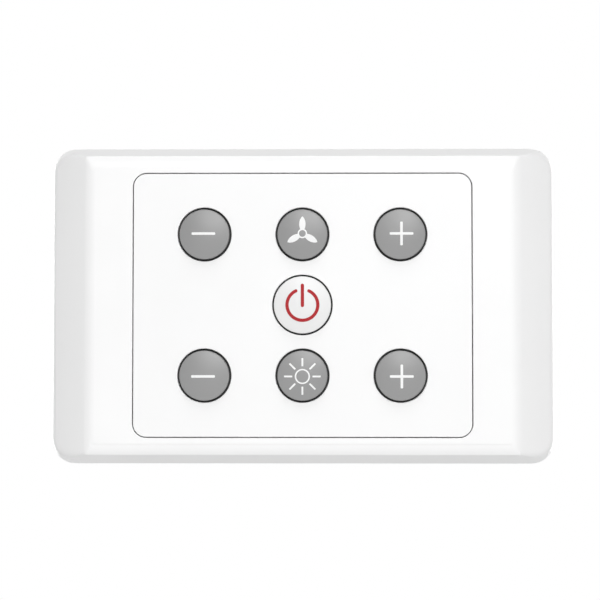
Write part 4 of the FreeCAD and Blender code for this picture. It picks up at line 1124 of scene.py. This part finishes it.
def terminalScrew(t):
    # a flat head with a slot, above a grooved shank
    radius = t["diameter"] / 2
    edge = t["edge"]
    depth = -t["headLength"]
    profile = [(0.0, 0.0), (radius - edge, 0.0), (radius - edge / 3, -edge / 3), (radius, -edge),
               (radius, depth)]
    while depth > -t["length"] + t["lastGroove"]:
        profile += [(radius - t["grooveDepth"], depth - t["grooveMiddle"]), (radius, depth - t["grooveEnd"])]
        depth -= t["groovePitch"]
    profile += [(radius - t["tipInset"], -t["length"]), (0.0, -t["length"])]
    blank = spun(profile, t["segments"], screwSteel)
    tool = block((-2 * radius, -t["slotDepth"], -t["slotWidth"] / 2),
                 (2 * radius, t["slotAbove"], t["slotWidth"] / 2))
    return shaded(without(blank, tool), t["sharpAngle"])


softSolid("terminalBlock", "terminal_block", terminalGreen)
softSolid("terminalCages", "terminal_clamps", clampBrass, segments=1)
slotted = terminalScrew(terminals)
slotted.transform(Matrix.Translation((0.0, terminals["back"] - terminals["sink"], terminals["row"])))
row = grown(slotted, rowTree, {
    "Count": terminals["count"], "Pitch": terminals["pitch"], "Material": screwSteel})
finished("terminalScrews", row, "base", screwSteel, ["terminal_screws"])
print("terminals ready")


# inner pieces

nodeFinishes = {
    "circuit_board": boardGreen, "supply_board": boardGreen, "controller_chip": chipBlack,
    "supply_transformer": transformerDark, "switching_relay": relayBlue, "film_capacitor": capacitorYellow,
    "smoothing_capacitor": capacitorSleeve, "link_header": chipBlack,
}
for button in places:
    nodeFinishes[button + "_switch"] = switchBlack
    nodeFinishes[button + "_plunger"] = plungerBlackAndGapShade
for node, finish in nodeFinishes.items():
    data = nodes[node].data
    data.materials.clear()
    data.materials.append(finish)
print("inner pieces dressed")


# floor, lamps and camera; the lengths of the floor and the lamps are in metres

studio = {
    "floorLevel": -0.7, "floorSize": 8.0, "floorShade": 0.5, "floorRoughness": 0.8, "floorGlow": 0.9,
    "ambient": 0.13,
}


def backdropRays(tree):
    # 1 for a ray from the camera, a reflection or glass, which sees the plain backdrop, and 0 for light
    path = tree.nodes.new("ShaderNodeLightPath")
    return calc(tree, "MAXIMUM", path.outputs["Is Camera Ray"],
                calc(tree, "MAXIMUM", path.outputs["Is Glossy Ray"], path.outputs["Is Transmission Ray"]))


def plainFloor(s):
    half = s["floorSize"] / 2
    level = s["floorLevel"]
    corners = [(-half, -half, level), (half, -half, level), (half, half, level), (-half, half, level)]
    mesh = meshOf(corners, [(0, 1, 2, 3)])
    material, tree, shader = startFinish("floorPale", s["floorRoughness"])[:3]
    shader.inputs["Base Color"].default_value = (s["floorShade"],) * 3 + (1.0,)
    shader.inputs["Specular IOR Level"].default_value = 0.0
    shader.inputs["Emission Color"].default_value = (1.0, 1.0, 1.0, 1.0)
    glow = calc(tree, "MULTIPLY", backdropRays(tree), s["floorGlow"])
    tree.links.new(glow, shader.inputs["Emission Strength"])
    mesh.materials.append(material)
    floor = workerFor(mesh)
    floor.name = "floor"


def plainWorld(s):
    world = bpy.data.worlds.new("paleRoom")
    world.use_nodes = True
    tree = world.node_tree
    tree.nodes.clear()
    seen = backdropRays(tree)
    dim = put(tree, "ShaderNodeBackground", {"Color": (1.0, 1.0, 1.0, 1.0), "Strength": s["ambient"]})
    white = put(tree, "ShaderNodeBackground", {"Color": (1.0, 1.0, 1.0, 1.0), "Strength": 1.0})
    both = put(tree, "ShaderNodeMixShader", {0: seen, 1: dim, 2: white})
    leave = tree.nodes.new("ShaderNodeOutputWorld")
    tree.links.new(both, leave.inputs["Surface"])
    scene.world = world


def softLamp(name, direction, distance, width, level):
    # level is how bright a white face that looks straight at the lamp becomes
    data = bpy.data.lights.new(name, "AREA")
    data.shape = "SQUARE"
    data.size = width
    data.energy = level * math.pi ** 2 * distance ** 2
    lamp = bpy.data.objects.new(name, data)
    scene.collection.objects.link(lamp)
    towards = Vector(direction).normalized()
    lamp.location = towards * distance
    lamp.rotation_euler = towards.to_track_quat("Z", "Y").to_euler()
    lamp.visible_camera = False


# direction, distance, width and level
lamps = {
    "frontLamp": ((0.1, -1.0, 0.34), 1.4, 0.52, 0.435),
    "topLamp": ((0.02, -0.28, 0.96), 1.4, 0.5, 0.39),
    "fillLamp": ((0.05, -1.0, -0.5), 0.7, 0.7, 0.455),
    "leftLamp": ((-1.0, -0.25, 0.0), 1.4, 0.8, 0.107),
    "rightLamp": ((1.0, -0.25, 0.0), 1.4, 0.8, 0.107),
    "backLampLeft": ((-0.8, 1.0, 0.0), 1.4, 0.8, 0.45),
    "backLampRight": ((0.8, 1.0, 0.0), 1.4, 0.8, 0.45),
}

plainFloor(studio)
plainWorld(studio)
for lampName, (direction, distance, width, level) in lamps.items():
    softLamp(lampName, direction, distance, width, level)

# plateX and plateY are the pixel of a picture 600 wide that shows the plate's middle, and scale is its pixels
# to one millimetre of the wall
view = {
    "distance": 490.0, "azimuth": 0.8, "elevation": -1.0, "pitch": 1.9, "sensor": 36.0, "clipStart": 0.01,
    "pictureWidth": 600.0, "plateX": 303.05, "plateY": 305.7, "scale": 4.266,
}


def photoCamera(v):
    azimuth = math.radians(v["azimuth"])
    elevation = math.radians(v["elevation"])
    back = Vector((math.sin(azimuth) * math.cos(elevation), -math.cos(azimuth) * math.cos(elevation),
                   math.sin(elevation)))
    location = back * v["distance"] * mm
    rise = -elevation + math.radians(v["pitch"])
    data = bpy.data.cameras.new("photoCamera")
    data.sensor_width = v["sensor"]
    data.lens = v["scale"] * v["distance"] * v["sensor"] / v["pictureWidth"]
    camera = bpy.data.objects.new("photoCamera", data)
    scene.collection.objects.link(camera)
    camera.location = location
    camera.rotation_euler = (math.pi / 2 + rise, 0.0, azimuth)
    # the shift puts the middle of the plate where the photograph has it
    turned = camera.rotation_euler.to_matrix().inverted() @ -location
    across = data.lens / data.sensor_width * turned.x / -turned.z
    up = data.lens / data.sensor_width * turned.y / -turned.z
    half = v["pictureWidth"] / 2
    data.shift_x = across - (v["plateX"] - half) / v["pictureWidth"]
    data.shift_y = up + (v["plateY"] - half) / v["pictureWidth"]
    data.clip_start = v["clipStart"]
    scene.camera = camera
    print("camera ready, shift %.4f %.4f, lens %.1f" % (data.shift_x, data.shift_y, data.lens))


photoCamera(view)
scene.view_settings.view_transform = "Standard"
